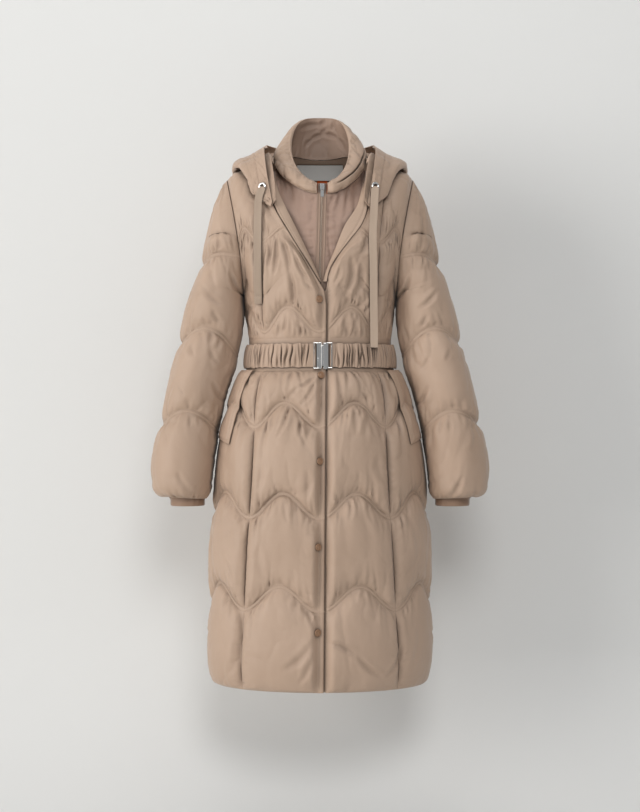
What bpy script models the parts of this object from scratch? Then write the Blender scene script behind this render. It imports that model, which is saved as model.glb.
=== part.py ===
"""A long hooded puffer coat with a shirred belt, filled out as if worn, with nobody in it.

Metres, +Z up, the front faces -Y. The origin is the middle of the shoulder line, where the
wearer's neck and shoulders hold the coat up. "Right" and "left" are the wearer's.

The body cloth is one surface body(u, v) that all its panels share. u runs round the coat and is
0 at centre front, 1 at the princess seam, 2 at the side seam, 3 at the back seam and 4 at centre
back, negative on the wearer's right. v counts the sewn rows from the hem, 0, to the shoulder seam.
"""

import math

import bmesh
import bpy
import numpy as np
from mathutils import Vector
from mathutils.bvhtree import BVHTree

# ---------------------------------------------------------------- driving sizes
SEAM_GAP = 0.0003          # between two pieces that are sewn together
CLOTH_OUT = 0.0008         # outer face of a wall, from its base surface
CLOTH_IN = 0.0012          # inner face of a wall, from its base surface
UNDERLAP = 0.0046          # depth that the under front lies behind the top front
FRONT_OVERLAP = 0.035      # width of the under front behind the top front
PLACKET_WIDTH = 0.022      # flat band along the edge of the top front
BELT_HEIGHT = 0.048
BELT_MIDDLE = -0.4125
BELT_GATHERS = 70
BELT_LIFT, BELT_FACE = 0.0017, 0.0034   # back and face of the belt, from the body's surface
BELT_FOLD = 0.0022         # height of its gathers
SNAP_RADIUS = 0.0075
TAPE_WIDTH = 0.0155        # drawstring tape
EYELET_RADIUS = 0.0085
ZIP_WIDTH = 0.019


def table(columns, *rows):
    """A short table as a dictionary of named columns."""
    return dict(zip(columns.split(), np.array(rows, float).T))


# Rows of quilting: height at their low points, height of their waves, puff of the band above.
LEVEL = table(
    "low wave puff",
    (-1.094, 0.000, 0.013),    # 0 hem
    (-0.931, 0.050, 0.013),    # 1
    (-0.744, 0.050, 0.013),    # 2
    (-0.560, 0.050, 0.011),    # 3
    (-0.445, 0.000, 0.000),    # 4 foot of the belt
    (-0.378, 0.000, 0.003),    # 5 head of the belt
    (-0.365, 0.050, 0.010),    # 6
    (-0.180, 0.032, 0.008),    # 7 the last row; 8 is the shoulder seam
)
HEM, BELT_FOOT, BELT_HEAD, CHEST_ROW, LAST_ROW, SHOULDER = 0, 4, 5, 6, 7, 8
FULL_TURN = 8.0                # u counts to this all the way round
U_WIDTH = 0.15                 # about how much cloth one u takes, in metres
UNDERARM = 6.4                 # v at which the side seam reaches the armhole

# Body cloth: half width and half depth at each height.
BODY = table(
    "z half_width half_depth",
    (-1.094, 0.2185, 0.146),
    (-1.050, 0.2235, 0.150),
    (-0.960, 0.2240, 0.150),
    (-0.860, 0.2220, 0.149),
    (-0.750, 0.2175, 0.146),
    (-0.650, 0.2075, 0.141),
    (-0.590, 0.2000, 0.137),
    (-0.530, 0.1870, 0.131),
    (-0.475, 0.1690, 0.122),
    (-0.440, 0.1540, 0.113),
    (-0.385, 0.1480, 0.109),
    (-0.340, 0.1520, 0.114),
    (-0.292, 0.1570, 0.120),
    (-0.180, 0.1660, 0.123),
)
# Angle of the princess seam from centre front, in degrees.
PRINCESS = table(
    "z angle",
    (-1.094, 46.0),
    (-0.840, 42.0),
    (-0.590, 42.0),
    (-0.440, 49.0),
    (-0.300, 49.0),
    (-0.100, 45.0),
)
# Armhole, an oval standing in the side of the coat.
ARM_X, ARM_Z = 0.175, -0.168   # its middle
ARM_LEAN = 0.018               # its top lies this far outside its middle
ARM_HEIGHT = 0.124             # half height
ARM_DEPTH = 0.072              # half depth
ARM_SCOOP = 0.006
NECK_TOP = 0.040               # height where the two shoulder slopes would meet
LAST_ROW_TURN = math.radians(98)

# Edges of the V neck, from its point up to the neck; right is the top front's edge.
V_NECK = table(
    "z right left",
    (-0.286, 0.0110, 0.0120),
    (-0.240, -0.0165, 0.0210),
    (-0.180, -0.0535, 0.0610),
    (-0.150, -0.0715, 0.0840),
    (-0.120, -0.0895, 0.0970),
    (-0.085, -0.1050, 0.1040),
    (-0.040, -0.1060, 0.1060),
    (0.000, -0.0955, 0.0955),
)
# Inner edges of the facings along the V.
FACING = table(
    "z right left",
    (-0.264, 0.0020, 0.0065),
    (-0.240, -0.0080, 0.0135),
    (-0.200, -0.0265, 0.0300),
    (-0.148, -0.0520, 0.0510),
    (-0.108, -0.0715, 0.0757),
    (-0.075, -0.0860, 0.0850),
    (-0.050, -0.0920, 0.0915),
    (-0.030, -0.0950, 0.0950),
)
V_POINT = 6.44                 # v at which the front edges part
NECK_MARGIN = 0.0022           # the back neckline lies this far outside the collar's base
TOP_EDGE = table("z x", (-1.094, 0.0075), (-0.286, 0.0130))

# Sleeve: row 0 is the hem, 1 to 3 are quilting rows and 4 is the top of the cap.
SLEEVE_OUTER = table(
    "row x z half_depth middle_y",
    (0.00, 0.3160, -0.7040, 0.0400, -0.022),
    (0.10, 0.3345, -0.6950, 0.0500, -0.022),
    (0.30, 0.3395, -0.6680, 0.0550, -0.020),
    (1.00, 0.3262, -0.5570, 0.0600, -0.014),
    (1.50, 0.3060, -0.4725, 0.0630, -0.009),
    (2.00, 0.2880, -0.3890, 0.0660, -0.004),
    (2.50, 0.2680, -0.3080, 0.0700, 0.000),
    (3.00, 0.2430, -0.2270, 0.0735, 0.000),
    (3.50, 0.2190, -0.1350, 0.0735, 0.000),
    (4.00, 0.1940, -0.0560, 0.0735, 0.000),
)
SLEEVE_INNER = table(
    "row x z",
    (0.00, 0.2370, -0.7090),
    (0.10, 0.2310, -0.6970),
    (0.30, 0.2285, -0.6700),
    (1.00, 0.2130, -0.5710),
    (1.50, 0.1990, -0.4960),
    (2.00, 0.1730, -0.4120),
    (2.25, 0.1640, -0.3500),
    (2.50, 0.1610, -0.2920),
)
SLEEVE_WAVES = (0.0, 0.037, 0.043, 0.012, 0.0)
SLEEVE_UNDERARM = 2.5
SLEEVE_LAST_ROW = 3.0
SLEEVE_LAST_TURN = math.radians(109)
SLEEVE_PUFF = 0.011
ARM_SEAM = 0.0018          # the sleeve's edge lies this far outside the armhole
# Storm cuff: its top is sewn inside the sleeve at a row near the hem, and these rings follow.
CUFF_ROW, CUFF_INSET = 0.16, 0.0066
CUFF_MIDDLE = (0.2762, -0.022)
CUFF_RINGS = table(
    "z half_width half_depth",
    (-0.6985, 0.0362, 0.0350),
    (-0.7100, 0.0352, 0.0340),
    (-0.7240, 0.0345, 0.0330),
)
CUFF_WALL = 0.0014
CUFF_SIDES = 20

# Collar: half width, middle y and half depth of its base seam and of its top edge, and their
# heights round it, from centre front at 0 degrees to centre back. It is open at the zip.
COLLAR_BASE = (0.0920, -0.0205, 0.0815)
COLLAR_TOP = (0.0600, -0.0200, 0.0750)
COLLAR_RISE = table(
    "turn base top",
    (0, -0.0830, -0.0630),
    (15, -0.0800, -0.0600),
    (30, -0.0703, -0.0510),
    (45, -0.0565, -0.0365),
    (60, -0.0410, -0.0184),
    (80, -0.0195, 0.0110),
    (90, -0.0100, 0.0268),
    (100, -0.0020, 0.0427),
    (110, 0.0052, 0.0577),
    (120, 0.0094, 0.0710),
    (130, 0.0120, 0.0816),
    (140, 0.0134, 0.0892),
    (150, 0.0126, 0.0938),
    (165, 0.0097, 0.0968),
    (180, 0.0090, 0.0974),
)
COLLAR_OPENING = 0.0103    # half width of the gap at its front
COLLAR_SHIFT = 0.0045      # the zip ends this far left of the middle
ZIP_FOOT, ZIP_HEAD = -0.300, -0.062
ZIP_HEAD_Y = -0.0965
PULL_PIVOT = (-0.1040, -0.0690)   # y and z of the bar that the pull tab turns on
BIB_DEPTH = 0.014          # the bib lies this far behind the fronts,
BIB_POINT_DEPTH = 0.0090   # and this far at the point of the V
BIB_REACH = 0.010          # it reaches this far past the V's edge,
BIB_SIDE = 0.089           # but at its top no farther from the middle than this
BIB_HEAD = -0.022          # height of its outer corners
BIB_TOP_GAP = 0.0020       # between it and the collar's base
BIB_WALL = 0.0008          # half its thickness
BIB_ZIP_HEAD = -0.0860     # height of its corners at the zip
FACING_FOOT, FACING_HEAD = -0.264, -0.032
FACING_LIFT = 0.0054       # a facing's inner edge lies this far ahead of the bib
FACING_WALL = 0.0007       # half its thickness
ZIP_TAPE_ROWS = (-0.300, -0.25, -0.20, -0.15, -0.11, -0.0855, -0.076, -0.062)
ZIP_BEND = -0.08           # above this height the tape is sewn to the collar's ends
SLIDER_FOOT, SLIDER_TOP = -0.0750, -0.0625
PULL_HALF_WIDTH, PULL_LENGTH = 0.0034, 0.0210

# Hood, lying behind: paths along its neck seam, its fold and its face edge, from the front
# end of each to centre back. "across" is u at the front and counts on over the shoulder;
# "over" is v past the shoulder seam, negative at the front. Lift is height off the body cloth.
HOOD = table(
    "along neck_u neck_over fold_u fold_over face_u face_over face_lift depth lift",
    (0.00, 0.64, -0.80, 0.72, -0.82, 0.69, -0.80, 0.010, 0.004, 0.0115),
    (0.15, 0.64, -0.62, 1.06, -0.60, 0.71, -0.58, 0.018, 0.008, 0.0120),
    (0.30, 0.66, -0.32, 1.46, -0.33, 0.70, -0.30, 0.026, 0.012, 0.0135),
    (0.42, 0.69, 0.00, 1.76, -0.06, 0.68, 0.00, 0.030, 0.014, 0.0150),
    (0.60, 0.64, 0.16, 1.66, 0.55, 0.62, 0.24, 0.036, 0.028, 0.0190),
    (0.80, 0.36, 0.34, 1.10, 1.08, 0.38, 0.44, 0.042, 0.044, 0.0205),
    (1.00, 0.00, 0.38, 0.00, 1.26, 0.00, 0.48, 0.044, 0.050, 0.0210),
    (1.20, -0.36, 0.34, -1.10, 1.08, -0.38, 0.44, 0.042, 0.044, 0.0205),
)
HOOD_WALL = 0.0010          # half thickness of its cloth
HOOD_SEAT = 0.0027          # its neck seam lies this far above the cloth below
HOOD_TUCK = 0.135           # farther from the middle than this, the hood is drawn in a little
HOOD_TUCK_RISE = 0.40       # and raised by this share of that
HOOD_SECTION = table(
    "reach rise",
    (0.00, 0.00),
    (0.07, 0.00),
    (0.35, 0.00),
    (0.70, 0.00),
    (0.92, 0.06),
    (1.00, 0.32),
    (0.99, 0.62),
    (0.90, 0.88),
    (0.70, 1.00),
    (0.40, 1.00),
    (0.16, 1.00),
    (0.00, 1.00),
)

HOOD_SECTIONS = len(HOOD_SECTION["reach"])

# Buckle: left and right ends, foot and head of its two fastened halves.
BUCKLE_FOOT, BUCKLE_HEAD = -0.4405, -0.3860
BUCKLE_THICKNESS = 0.004
BUCKLE_ROUNDING = 0.0006
CUT_PAST = 0.001               # a cutter reaches this far past what it cuts
BUCKLE_BACK = -0.1167          # y of its back, just ahead of the belt
BUCKLES = (
    # name, its two ends, and the two ends of the slot that its belt end goes through
    ("buckle_right", -0.0132, 0.0040, -0.0098, -0.0062),
    ("buckle_left", 0.0046, 0.0256, 0.0172, 0.0204),
)
BUCKLE_BAR = 0.0055            # metal above and below a slot
BELT_ENDS = (-0.0137, 0.0262)
WAIST_HALF_WIDTH = 0.158
WAIST_PRINCESS = 49.0          # degrees from centre front to the princess seam at the waist
# Snaps down the top front.
SNAPS = table(
    "x z",
    (-0.0020, -0.300),
    (0.0010, -0.4545),
    (-0.0020, -0.628),
    (-0.0050, -0.800),
    (-0.0061, -0.972),
)
# Corner lines of a pocket welt, as angles from centre front.
WELT = table(
    "z inner outer",
    (-0.597, 60.0, 79.0),
    (-0.520, 59.0, 79.5),
    (-0.446, 58.0, 80.0),
)
WELT_SLOPE = 0.012             # its outer corner lies this far above its inner one
WELT_LIFT = 0.0022             # a welt's coarse back stays this far off the panel's curve
WELT_WALL = 0.0026
EYELETS = {"left": 0.1122, "right": -0.1173}   # x of each
EYELET_Z = -0.0697
EYELET_HOLE = 0.0048
# Label under the neck seam on the back's inside, and the small tab that hangs under it.
LABEL_HALF_WIDTH, LABEL_FOOT, LABEL_HEAD = 0.049, -0.032, -0.002
TAB_LEFT, TAB_RIGHT, TAB_FOOT, TAB_HEAD = 0.016, -0.006, -0.066, -0.030
LABEL_GAP, LABEL_WALL = 0.0008, 0.0010
BODY_MIDDLE_Y = -0.03          # a place well inside the coat, between its front and its back


def smooth_step(low, high, value):
    part = np.clip((np.asarray(value, float) - low) / (high - low), 0.0, 1.0)
    return part * part * (3.0 - 2.0 * part)


def read(columns, key, name, value):
    """One column of a table on a smooth curve through its rows, at a value of the key column."""
    xs, ys = columns[key], columns[name]
    slopes = np.gradient(ys, xs)
    value = np.clip(value, xs[0], xs[-1])
    i = np.clip(np.searchsorted(xs, value, side="right") - 1, 0, len(xs) - 2)
    step = xs[i + 1] - xs[i]
    t = (value - xs[i]) / step
    start = (1 + 2 * t) * (1 - t) ** 2 * ys[i] + t * (1 - t) ** 2 * step * slopes[i]
    end = t * t * (3 - 2 * t) * ys[i + 1] + t * t * (t - 1) * step * slopes[i + 1]
    return start + end


def mix(a, b, part):
    return a + (b - a) * part


# ---------------------------------------------------------------- the body surface
def armhole(turn):
    """Point of the left armhole, turn 0 at the shoulder and a quarter turn at the front."""
    x = ARM_X + ARM_LEAN * np.cos(turn) - ARM_SCOOP * np.sin(turn) ** 2
    return x, -ARM_DEPTH * np.sin(turn), ARM_Z + ARM_HEIGHT * np.cos(turn)


def armhole_turn(v):
    """How far round the armhole row v meets it."""
    low = mix(math.pi, LAST_ROW_TURN, (v - UNDERARM) / (LAST_ROW - UNDERARM))
    high = LAST_ROW_TURN * (SHOULDER - v)
    return np.where(v < LAST_ROW, np.minimum(low, math.pi), high)


def wave(u):
    return 0.5 - 0.5 * np.cos(2.0 * math.pi * u)


def row_height(u, v):
    """Height of row v of the body cloth, up to the last quilting row."""
    low = np.clip(np.floor(v), 0, LAST_ROW - 1).astype(int)
    foot = LEVEL["low"][low] + LEVEL["wave"][low] * wave(u)
    head = LEVEL["low"][low + 1] + LEVEL["wave"][low + 1] * wave(u)
    return mix(foot, head, v - low)


def body(u, v):
    """Base surface of the body cloth, as an array of points."""
    u, v = np.broadcast_arrays(np.asarray(u, float), np.asarray(v, float))
    u = (u + 4.0) % 8.0 - 4.0
    front = np.abs(u) <= 2.0
    around = np.where(front, np.abs(u), 4.0 - np.abs(u))
    facing = np.where(front, -1.0, 1.0)
    side = np.where(u < 0.0, -1.0, 1.0)
    z = row_height(u, np.minimum(v, LAST_ROW))
    princess = np.where(front, np.radians(read(PRINCESS, "z", "angle", z)), math.pi / 4)
    outer_part = princess + (math.pi / 2 - princess) * (around - 1.0)
    turn = np.where(around < 1.0, princess * around, outer_part)
    sine, cosine = np.sin(turn), np.cos(turn)
    x = read(BODY, "z", "half_width", z) * sine
    y = facing * read(BODY, "z", "half_depth", z) * cosine
    if not (v > CHEST_ROW).any():
        return np.stack([side * x, y, z], axis=-1)
    # Above the chest row, each row runs from a centre line to the armhole.
    rise = np.clip(SHOULDER - v, 0.0, 1.0) * math.pi / 2
    last_low = LEVEL["low"][LAST_ROW]
    centre_z = np.where(
        v <= LAST_ROW,
        mix(LEVEL["low"][CHEST_ROW], last_low, np.clip(v - CHEST_ROW, 0, 1)),
        NECK_TOP - (NECK_TOP - last_low) * (1.0 - np.cos(rise)),
    )
    centre_y = facing * read(BODY, "z", "half_depth", np.minimum(centre_z, last_low))
    centre_y = np.where(v > LAST_ROW, centre_y * np.sin(rise), centre_y)
    seam_z = mix(LEVEL["low"][CHEST_ROW], ARM_Z - ARM_HEIGHT, (v - CHEST_ROW) / (UNDERARM - CHEST_ROW))
    arm_x, arm_y, arm_z = armhole(armhole_turn(v))
    below = v < UNDERARM
    edge_x = np.where(below, read(BODY, "z", "half_width", seam_z), arm_x)
    edge_y = np.where(below, 0.0, -facing * arm_y)
    edge_z = np.where(below, seam_z, arm_z)
    upper = smooth_step(UNDERARM, LAST_ROW, v)
    bend = mix(1.0 - cosine, sine**2.2, upper)
    slope = sine ** (2.0 - np.clip(v - LAST_ROW, 0, 1))
    height = LEVEL["wave"][LAST_ROW] * np.clip(SHOULDER - v, 0, 1)
    height = np.where(v < LAST_ROW, mix(LEVEL["wave"][CHEST_ROW], height, np.clip(v - 6, 0, 1)), height)
    high = (edge_x * sine, mix(centre_y, edge_y, bend), mix(centre_z, edge_z, slope) + height * wave(u))
    blend = smooth_step(CHEST_ROW, UNDERARM, v)
    x, y, z = mix(x, high[0], blend), mix(y, high[1], blend), mix(z, high[2], blend)
    return np.stack([side * x, y, z], axis=-1)


def body_normal(u, v):
    """Outward unit normal of the body surface."""
    u, v = np.broadcast_arrays(np.asarray(u, float), np.asarray(v, float))
    step_u, step_v = 0.02, 0.04
    low_v, high_v = np.maximum(v - step_v, 0.0), np.minimum(v + step_v, SHOULDER)
    # Differences stay on their own side of the side seam above the underarm.
    lean = np.where((v > UNDERARM) & (np.abs(np.abs(u) - 2.0) < step_u), step_u, 0.0)
    centre = np.where(np.abs(u) <= 2.0, np.abs(u) - lean, np.abs(u) + lean) * np.sign(u + 1e-12)
    across = body(centre + step_u, v) - body(centre - step_u, v)
    along = body(centre, high_v) - body(centre, low_v)
    normal = np.cross(across, along)
    # Front and back meet at these seams, with one normal for both.
    side_seam = (np.abs(np.abs(u) - 2.0) < 0.01) & (v <= UNDERARM)
    normal[..., 1] = np.where(side_seam | (v > SHOULDER - 0.01), 0.0, normal[..., 1])
    return normal / np.linalg.norm(normal, axis=-1, keepdims=True)


def round_top(t, power=0.6):
    return np.sin(math.pi * np.clip(t, 0.0, 1.0)) ** power


def puff(u, v, seams):
    """Height of the quilted puffs of a panel whose seams lie at the two values of u."""
    band = np.clip(np.floor(v), 0, LAST_ROW).astype(int)
    height = LEVEL["puff"][band] * round_top(v - band)
    reach = np.minimum(np.abs(u - seams[0]), np.abs(u - seams[1])) * 0.14
    height = height * (1.0 - np.exp(-((reach / 0.013) ** 1.2)))
    near_arm = np.exp(-(((np.abs(u) - 2.0) / 0.4) ** 2)) * smooth_step(4.5, 6.0, v)
    return height * (1.0 - 0.75 * near_arm)


# ---------------------------------------------------------------- making objects
def clear_scene():
    for old in list(bpy.data.objects):
        bpy.data.objects.remove(old, do_unlink=True)


def material(name, colour, roughness, metallic=0.0):
    made = bpy.data.materials.new(name)
    made.use_nodes = True
    shader = made.node_tree.nodes["Principled BSDF"]
    shader.inputs["Base Color"].default_value = (*colour, 1.0)
    shader.inputs["Roughness"].default_value = roughness
    shader.inputs["Metallic"].default_value = metallic
    return made


SHELL_CLOTH = ((0.47, 0.35, 0.26), 0.55)
CUFF_CLOTH = ((0.32, 0.18, 0.10), 0.8)
CHROME = ((0.75, 0.75, 0.76), 0.2, 1.0)
SNAP_FINISH = ((0.40, 0.23, 0.15), 0.4)
LABEL_CLOTH = ((0.72, 0.70, 0.66), 0.7)
TAB_CLOTH = ((0.80, 0.13, 0.02), 0.7)


def add_object(name, mesh, finish, smooth=True):
    if smooth:
        mesh.shade_smooth()
        mesh.set_sharp_from_angle(angle=math.radians(50))
    made = bpy.data.objects.new(name, mesh)
    made.data.materials.append(material(name + "_finish", *finish))
    coat_collection().objects.link(made)
    return made


def coat_collection():
    name = "Puffer_coat"
    if name not in bpy.data.collections:
        bpy.context.scene.collection.children.link(bpy.data.collections.new(name))
    return bpy.data.collections[name]


def halves(points, cell, outward):
    """A cell's two triangles: cut from its inward corner if it has one, or else to bulge outward."""
    splits = []
    for a, b, c, d in (cell.tolist(), np.roll(cell, -1).tolist()):
        first = np.cross(points[b] - points[a], points[c] - points[a])
        second = np.cross(points[c] - points[a], points[d] - points[a])
        bulge = np.dot(points[a] + points[c], outward)
        splits.append((np.dot(first, second) > 0.0, bulge, [(a, b, c), (a, c, d)]))
    return max(splits, key=lambda split: split[:2])[2]


def wall(name, outer, inner, finish, closed=False):
    """A closed wall of cloth between two grids of points; closed joins its last column to its first."""
    rows, columns = outer.shape[:2]
    points = np.concatenate([outer.reshape(-1, 3), inner.reshape(-1, 3)])
    size = rows * columns
    faces = []
    spans = columns if closed else columns - 1
    for i in range(rows - 1):
        for j in range(spans):
            k = (j + 1) % columns
            a, b = i * columns + j, i * columns + k
            c, d = (i + 1) * columns + k, (i + 1) * columns + j
            cell = np.array((a, b, c, d))
            outward = (points[cell] - points[cell + size]).sum(axis=0)
            faces += halves(points, cell, outward)
            faces += halves(points, cell[::-1] + size, -outward)
    for j in range(spans):
        k = (j + 1) % columns
        top = (rows - 1) * columns
        faces.append((k, j, size + j, size + k))
        faces.append((top + j, top + k, size + top + k, size + top + j))
    for i in range(rows - 1 if not closed else 0):
        a, b = i * columns, (i + 1) * columns
        faces.append((a, b, size + b, size + a))
        a, b = a + columns - 1, b + columns - 1
        faces.append((b, a, size + a, size + b))
    mesh = bpy.data.meshes.new(name)
    mesh.from_pydata(points.tolist(), [], faces)
    shape = bmesh.new()
    shape.from_mesh(mesh)
    if shape.calc_volume(signed=True) < 0.0:
        bmesh.ops.reverse_faces(shape, faces=shape.faces)
    shape.to_mesh(mesh)
    shape.free()
    return add_object(name, mesh, finish)


def grid_normals(points, closed=False):
    """Unit normals of a grid of points."""
    along = np.gradient(points, axis=0)
    if closed:
        across = np.roll(points, -1, axis=1) - np.roll(points, 1, axis=1)
    else:
        across = np.gradient(points, axis=1)
    normal = np.cross(across, along)
    return normal / np.linalg.norm(normal, axis=-1, keepdims=True)


def surface_of(*objects):
    """Search tree of the faces of some objects."""
    points, faces = [], []
    for item in objects:
        start = len(points)
        points += [tuple(item.matrix_world @ vertex.co) for vertex in item.data.vertices]
        faces += [tuple(start + k for k in face.vertices) for face in item.data.polygons]
    return BVHTree.FromPolygons(points, faces)


def seated(points, normals, carrier, lift, spread=0.0):
    """Each point moved along its normal to lie `lift` outside the carrier, whose highest
    place within `spread` of the point counts."""
    found = np.array(points, float)
    reach = 0.06
    for index in np.ndindex(found.shape[:-1]):
        normal = Vector(normals[index])
        aside = normal.orthogonal().normalized()
        away = normal.cross(aside)
        start = Vector(found[index]) + normal * reach
        nearest = 2.0 * reach
        for k in range(9 if spread else 1):
            offset = Vector((0.0, 0.0, 0.0))
            if k:
                turn = math.pi * k / 4
                offset = (aside * math.cos(turn) + away * math.sin(turn)) * spread
            distance = carrier.ray_cast(start + offset, -normal, 2.0 * reach)[3]
            if distance is not None:
                nearest = min(nearest, distance)
        if nearest < 2.0 * reach:
            found[index] = start + normal * (lift - nearest)
    return found


def mirrored(points):
    return points * np.array([-1.0, 1.0, 1.0])


# ---------------------------------------------------------------- body panels
def band_rows():
    """Rows of every panel: more of them where a puff turns into its seam."""
    quilted = (0.0, 0.14, 0.5, 0.86)
    parts = [(0.0, 0.05, 0.18, 0.5, 0.86), quilted, quilted, quilted, (0.0,), (0.0, 0.5)]
    parts += [(0.0, 0.12, 0.27, 0.44, 0.60, 0.76, 0.9), (0.0, 0.1, 0.28, 0.5, 0.72, 0.9)]
    rows = [band + t for band, part in enumerate(parts) for t in part]
    return np.array(rows + [SHOULDER])


SIDE_COLUMNS = (0.0, 0.08, 0.28, 0.5, 0.72, 0.92, 1.0)


def u_step(u, v, distance):
    """Change of u that moves a point this far across the panel."""
    span = np.linalg.norm(body(u + 0.01, v) - body(u - 0.01, v), axis=-1) / 0.02
    return distance / np.maximum(span, 1e-4)


def panel_grid(start, end, columns=SIDE_COLUMNS, top=None):
    """u and v of a panel between two seams; start and end are functions of v."""
    rows = band_rows()
    rows[-1] -= 0.0016
    low = np.array([start(v) for v in rows])
    high = np.array([end(v) for v in rows])
    low = low + u_step(low + 0.01, rows, SEAM_GAP / 2)
    high = high - u_step(high - 0.01, rows, SEAM_GAP / 2)
    u = low[:, None] + (high - low)[:, None] * np.array(columns)[None, :]
    v = np.repeat(rows[:, None], len(columns), axis=1)
    if top is not None:
        last = top(u)
        above = v > LAST_ROW
        v = np.where(above, LAST_ROW + (v - LAST_ROW) * (last - LAST_ROW), v)
    return u, v


def panel(name, u, v, height, sink=0.0):
    """A panel's wall: puffs of the given height over a plain inside, all moved in by sink."""
    base, normal = body(u, v), body_normal(u, v)
    sink = np.broadcast_to(sink, u.shape)
    outer = base + normal * (CLOTH_OUT + height - sink)[..., None]
    inner = base - normal * (CLOTH_IN + sink)[..., None]
    return wall(name, outer, inner, SHELL_CLOTH)


def side_panels():
    made = {}
    for name, low, high in (
        ("side_front_left", 1.0, 2.0),
        ("side_back_left", 2.0, 3.0),
        ("side_front_right", -2.0, -1.0),
        ("side_back_right", -3.0, -2.0),
    ):
        u, v = panel_grid(lambda v: low, lambda v: high)
        made[name] = panel(name, u, v, puff(u, v, (low, high)))
    return made


def back_neck(u):
    """v of the back neckline, which runs just outside the collar's base seam."""
    half_width, middle, half_depth = COLLAR_BASE[:3]
    low, high = np.full(u.shape, LAST_ROW + 0.3), np.full(u.shape, float(SHOULDER))
    for _ in range(24):
        v = (low + high) / 2
        point = body(u, v)
        across = point[..., 0] / (half_width + NECK_MARGIN)
        behind = (point[..., 1] - middle) / (half_depth + NECK_MARGIN)
        outside = across**2 + behind**2 > 1.0
        low, high = np.where(outside, v, low), np.where(outside, high, v)
    return (low + high) / 2


def back_panel():
    half = (0.0, 0.04, 0.14, 0.25, 0.36, 0.46)
    columns = half + (0.5,) + tuple(1.0 - t for t in reversed(half))
    u, v = panel_grid(lambda v: 3.0, lambda v: 5.0, columns, back_neck)
    height = puff(u, v, (3.0, 5.0)) * smooth_step(0.0, 0.22, back_neck(u) - v)
    return panel("back", u, v, height)


def v_edge(v, name):
    """u at which row v of a front meets the V neck."""
    u = -0.3 if name == "right" else 0.3
    for _ in range(60):
        point = body(u, v)
        u += (read(V_NECK, "z", name, point[2]) - point[0]) * 3.0
    return float(u)


def edge_u(v, offset):
    """u of a line this far towards the wearer's left of the top front's edge."""
    u = 0.08
    for _ in range(30):
        point = body(u, v)
        aim = read(TOP_EDGE, "z", "x", point[2]) + offset
        u += (aim - point[0]) * 5.0
    return float(u)


def front_right():
    """The top front, up to its flat placket edge; above its last snap it follows the V."""

    def end(v):
        return edge_u(v, 0.0) if v < V_POINT else v_edge(v, "right")

    u, v = panel_grid(lambda v: -1.0, end, (0.0, 0.07, 0.25, 0.45, 0.62, 0.77, 0.852, 1.0))
    height = puff(u, v, (-1.0, 9.0))
    edge = u[:, -1:]
    reach = (edge - u) * U_WIDTH
    height = height * smooth_step(PLACKET_WIDTH, 2.1 * PLACKET_WIDTH, reach)
    return panel("front_right", u, v, height)


def front_left():
    """The under front: its edge lies behind the top front."""

    def start(v):
        return edge_u(v, -FRONT_OVERLAP) if v < V_POINT else v_edge(v, "left")

    u, v = panel_grid(start, lambda v: 1.0, (0.0, 0.11, 0.22, 0.32, 0.5, 0.7, 0.88, 1.0))
    for i, row in enumerate(v[:, 0]):
        if row < V_POINT:
            u[i, 1] = edge_u(row, -0.012)
            u[i, 2] = edge_u(row, 0.0015)
            u[i, 3] = edge_u(row, 0.010)
    under = v < V_POINT + 0.1
    x = body(u, v)[..., 0]
    edge_x = read(TOP_EDGE, "z", "x", body(u, v)[..., 2])
    sink = np.where(under, UNDERLAP * (1.0 - smooth_step(0.002, 0.006, x - edge_x)), 0.0)
    height = puff(u, v, (-9.0, 1.0))
    reach = np.where(under, x - edge_x, (u - u[:, :1]) * U_WIDTH)
    height = height * smooth_step(0.004, 0.030, reach)
    return panel("front_left", u, v, height, sink)


# ---------------------------------------------------------------- sleeves
def sleeve(across, row):
    """Base surface of the left sleeve: across runs from -1 at the back of its underarm seam
    to 1 at the front of it, row from the hem to the top of the cap."""
    across, row = np.broadcast_arrays(np.asarray(across, float), np.asarray(row, float))
    outer_x = read(SLEEVE_OUTER, "row", "x", row)
    outer_z = read(SLEEVE_OUTER, "row", "z", row)
    depth = read(SLEEVE_OUTER, "row", "half_depth", row)
    middle = read(SLEEVE_OUTER, "row", "middle_y", row)
    past = (row - SLEEVE_UNDERARM) / (SLEEVE_LAST_ROW - SLEEVE_UNDERARM)
    low_turn = mix(math.pi, SLEEVE_LAST_TURN, np.clip(past, 0.0, 1.0))
    turn = np.where(row > SLEEVE_LAST_ROW, SLEEVE_LAST_TURN * (4.06 - row) / 1.06, low_turn)
    arm_x, arm_y, arm_z = armhole(turn)
    tube = row < SLEEVE_UNDERARM
    underarm_extra = 0.0022 * smooth_step(math.radians(120), math.pi, turn)
    end_x = np.where(tube, read(SLEEVE_INNER, "row", "x", row), arm_x + ARM_SEAM + underarm_extra)
    end_z = np.where(tube, read(SLEEVE_INNER, "row", "z", row), arm_z)
    half_turn = np.arcsin(np.clip(-arm_y / depth, 0.0, 1.0))
    spread = np.where(turn > math.pi / 2, math.pi - half_turn, half_turn)
    spread = np.where(tube, math.pi, spread)
    bulge = (outer_x - end_x) / (1.0 - np.cos(spread))
    x = outer_x - bulge * (1.0 - np.cos(spread * across))
    y = middle - depth * np.sin(spread * across)
    share = 0.5 - 0.5 * np.cos(math.pi * across)
    height = np.interp(row, range(5), SLEEVE_WAVES) * np.sin(math.pi * across) ** 2
    return np.stack([x, y, mix(outer_z, end_z, share) + height], axis=-1)


def sleeve_normal(across, row):
    step, low, high = 0.01, np.maximum(row - 0.03, 0.0), np.minimum(row + 0.03, 4.0)
    aside = sleeve(across + step, row) - sleeve(across - step, row)
    along = sleeve(across, high) - sleeve(across, low)
    normal = np.cross(along, aside)
    return normal / np.linalg.norm(normal, axis=-1, keepdims=True)


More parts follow.
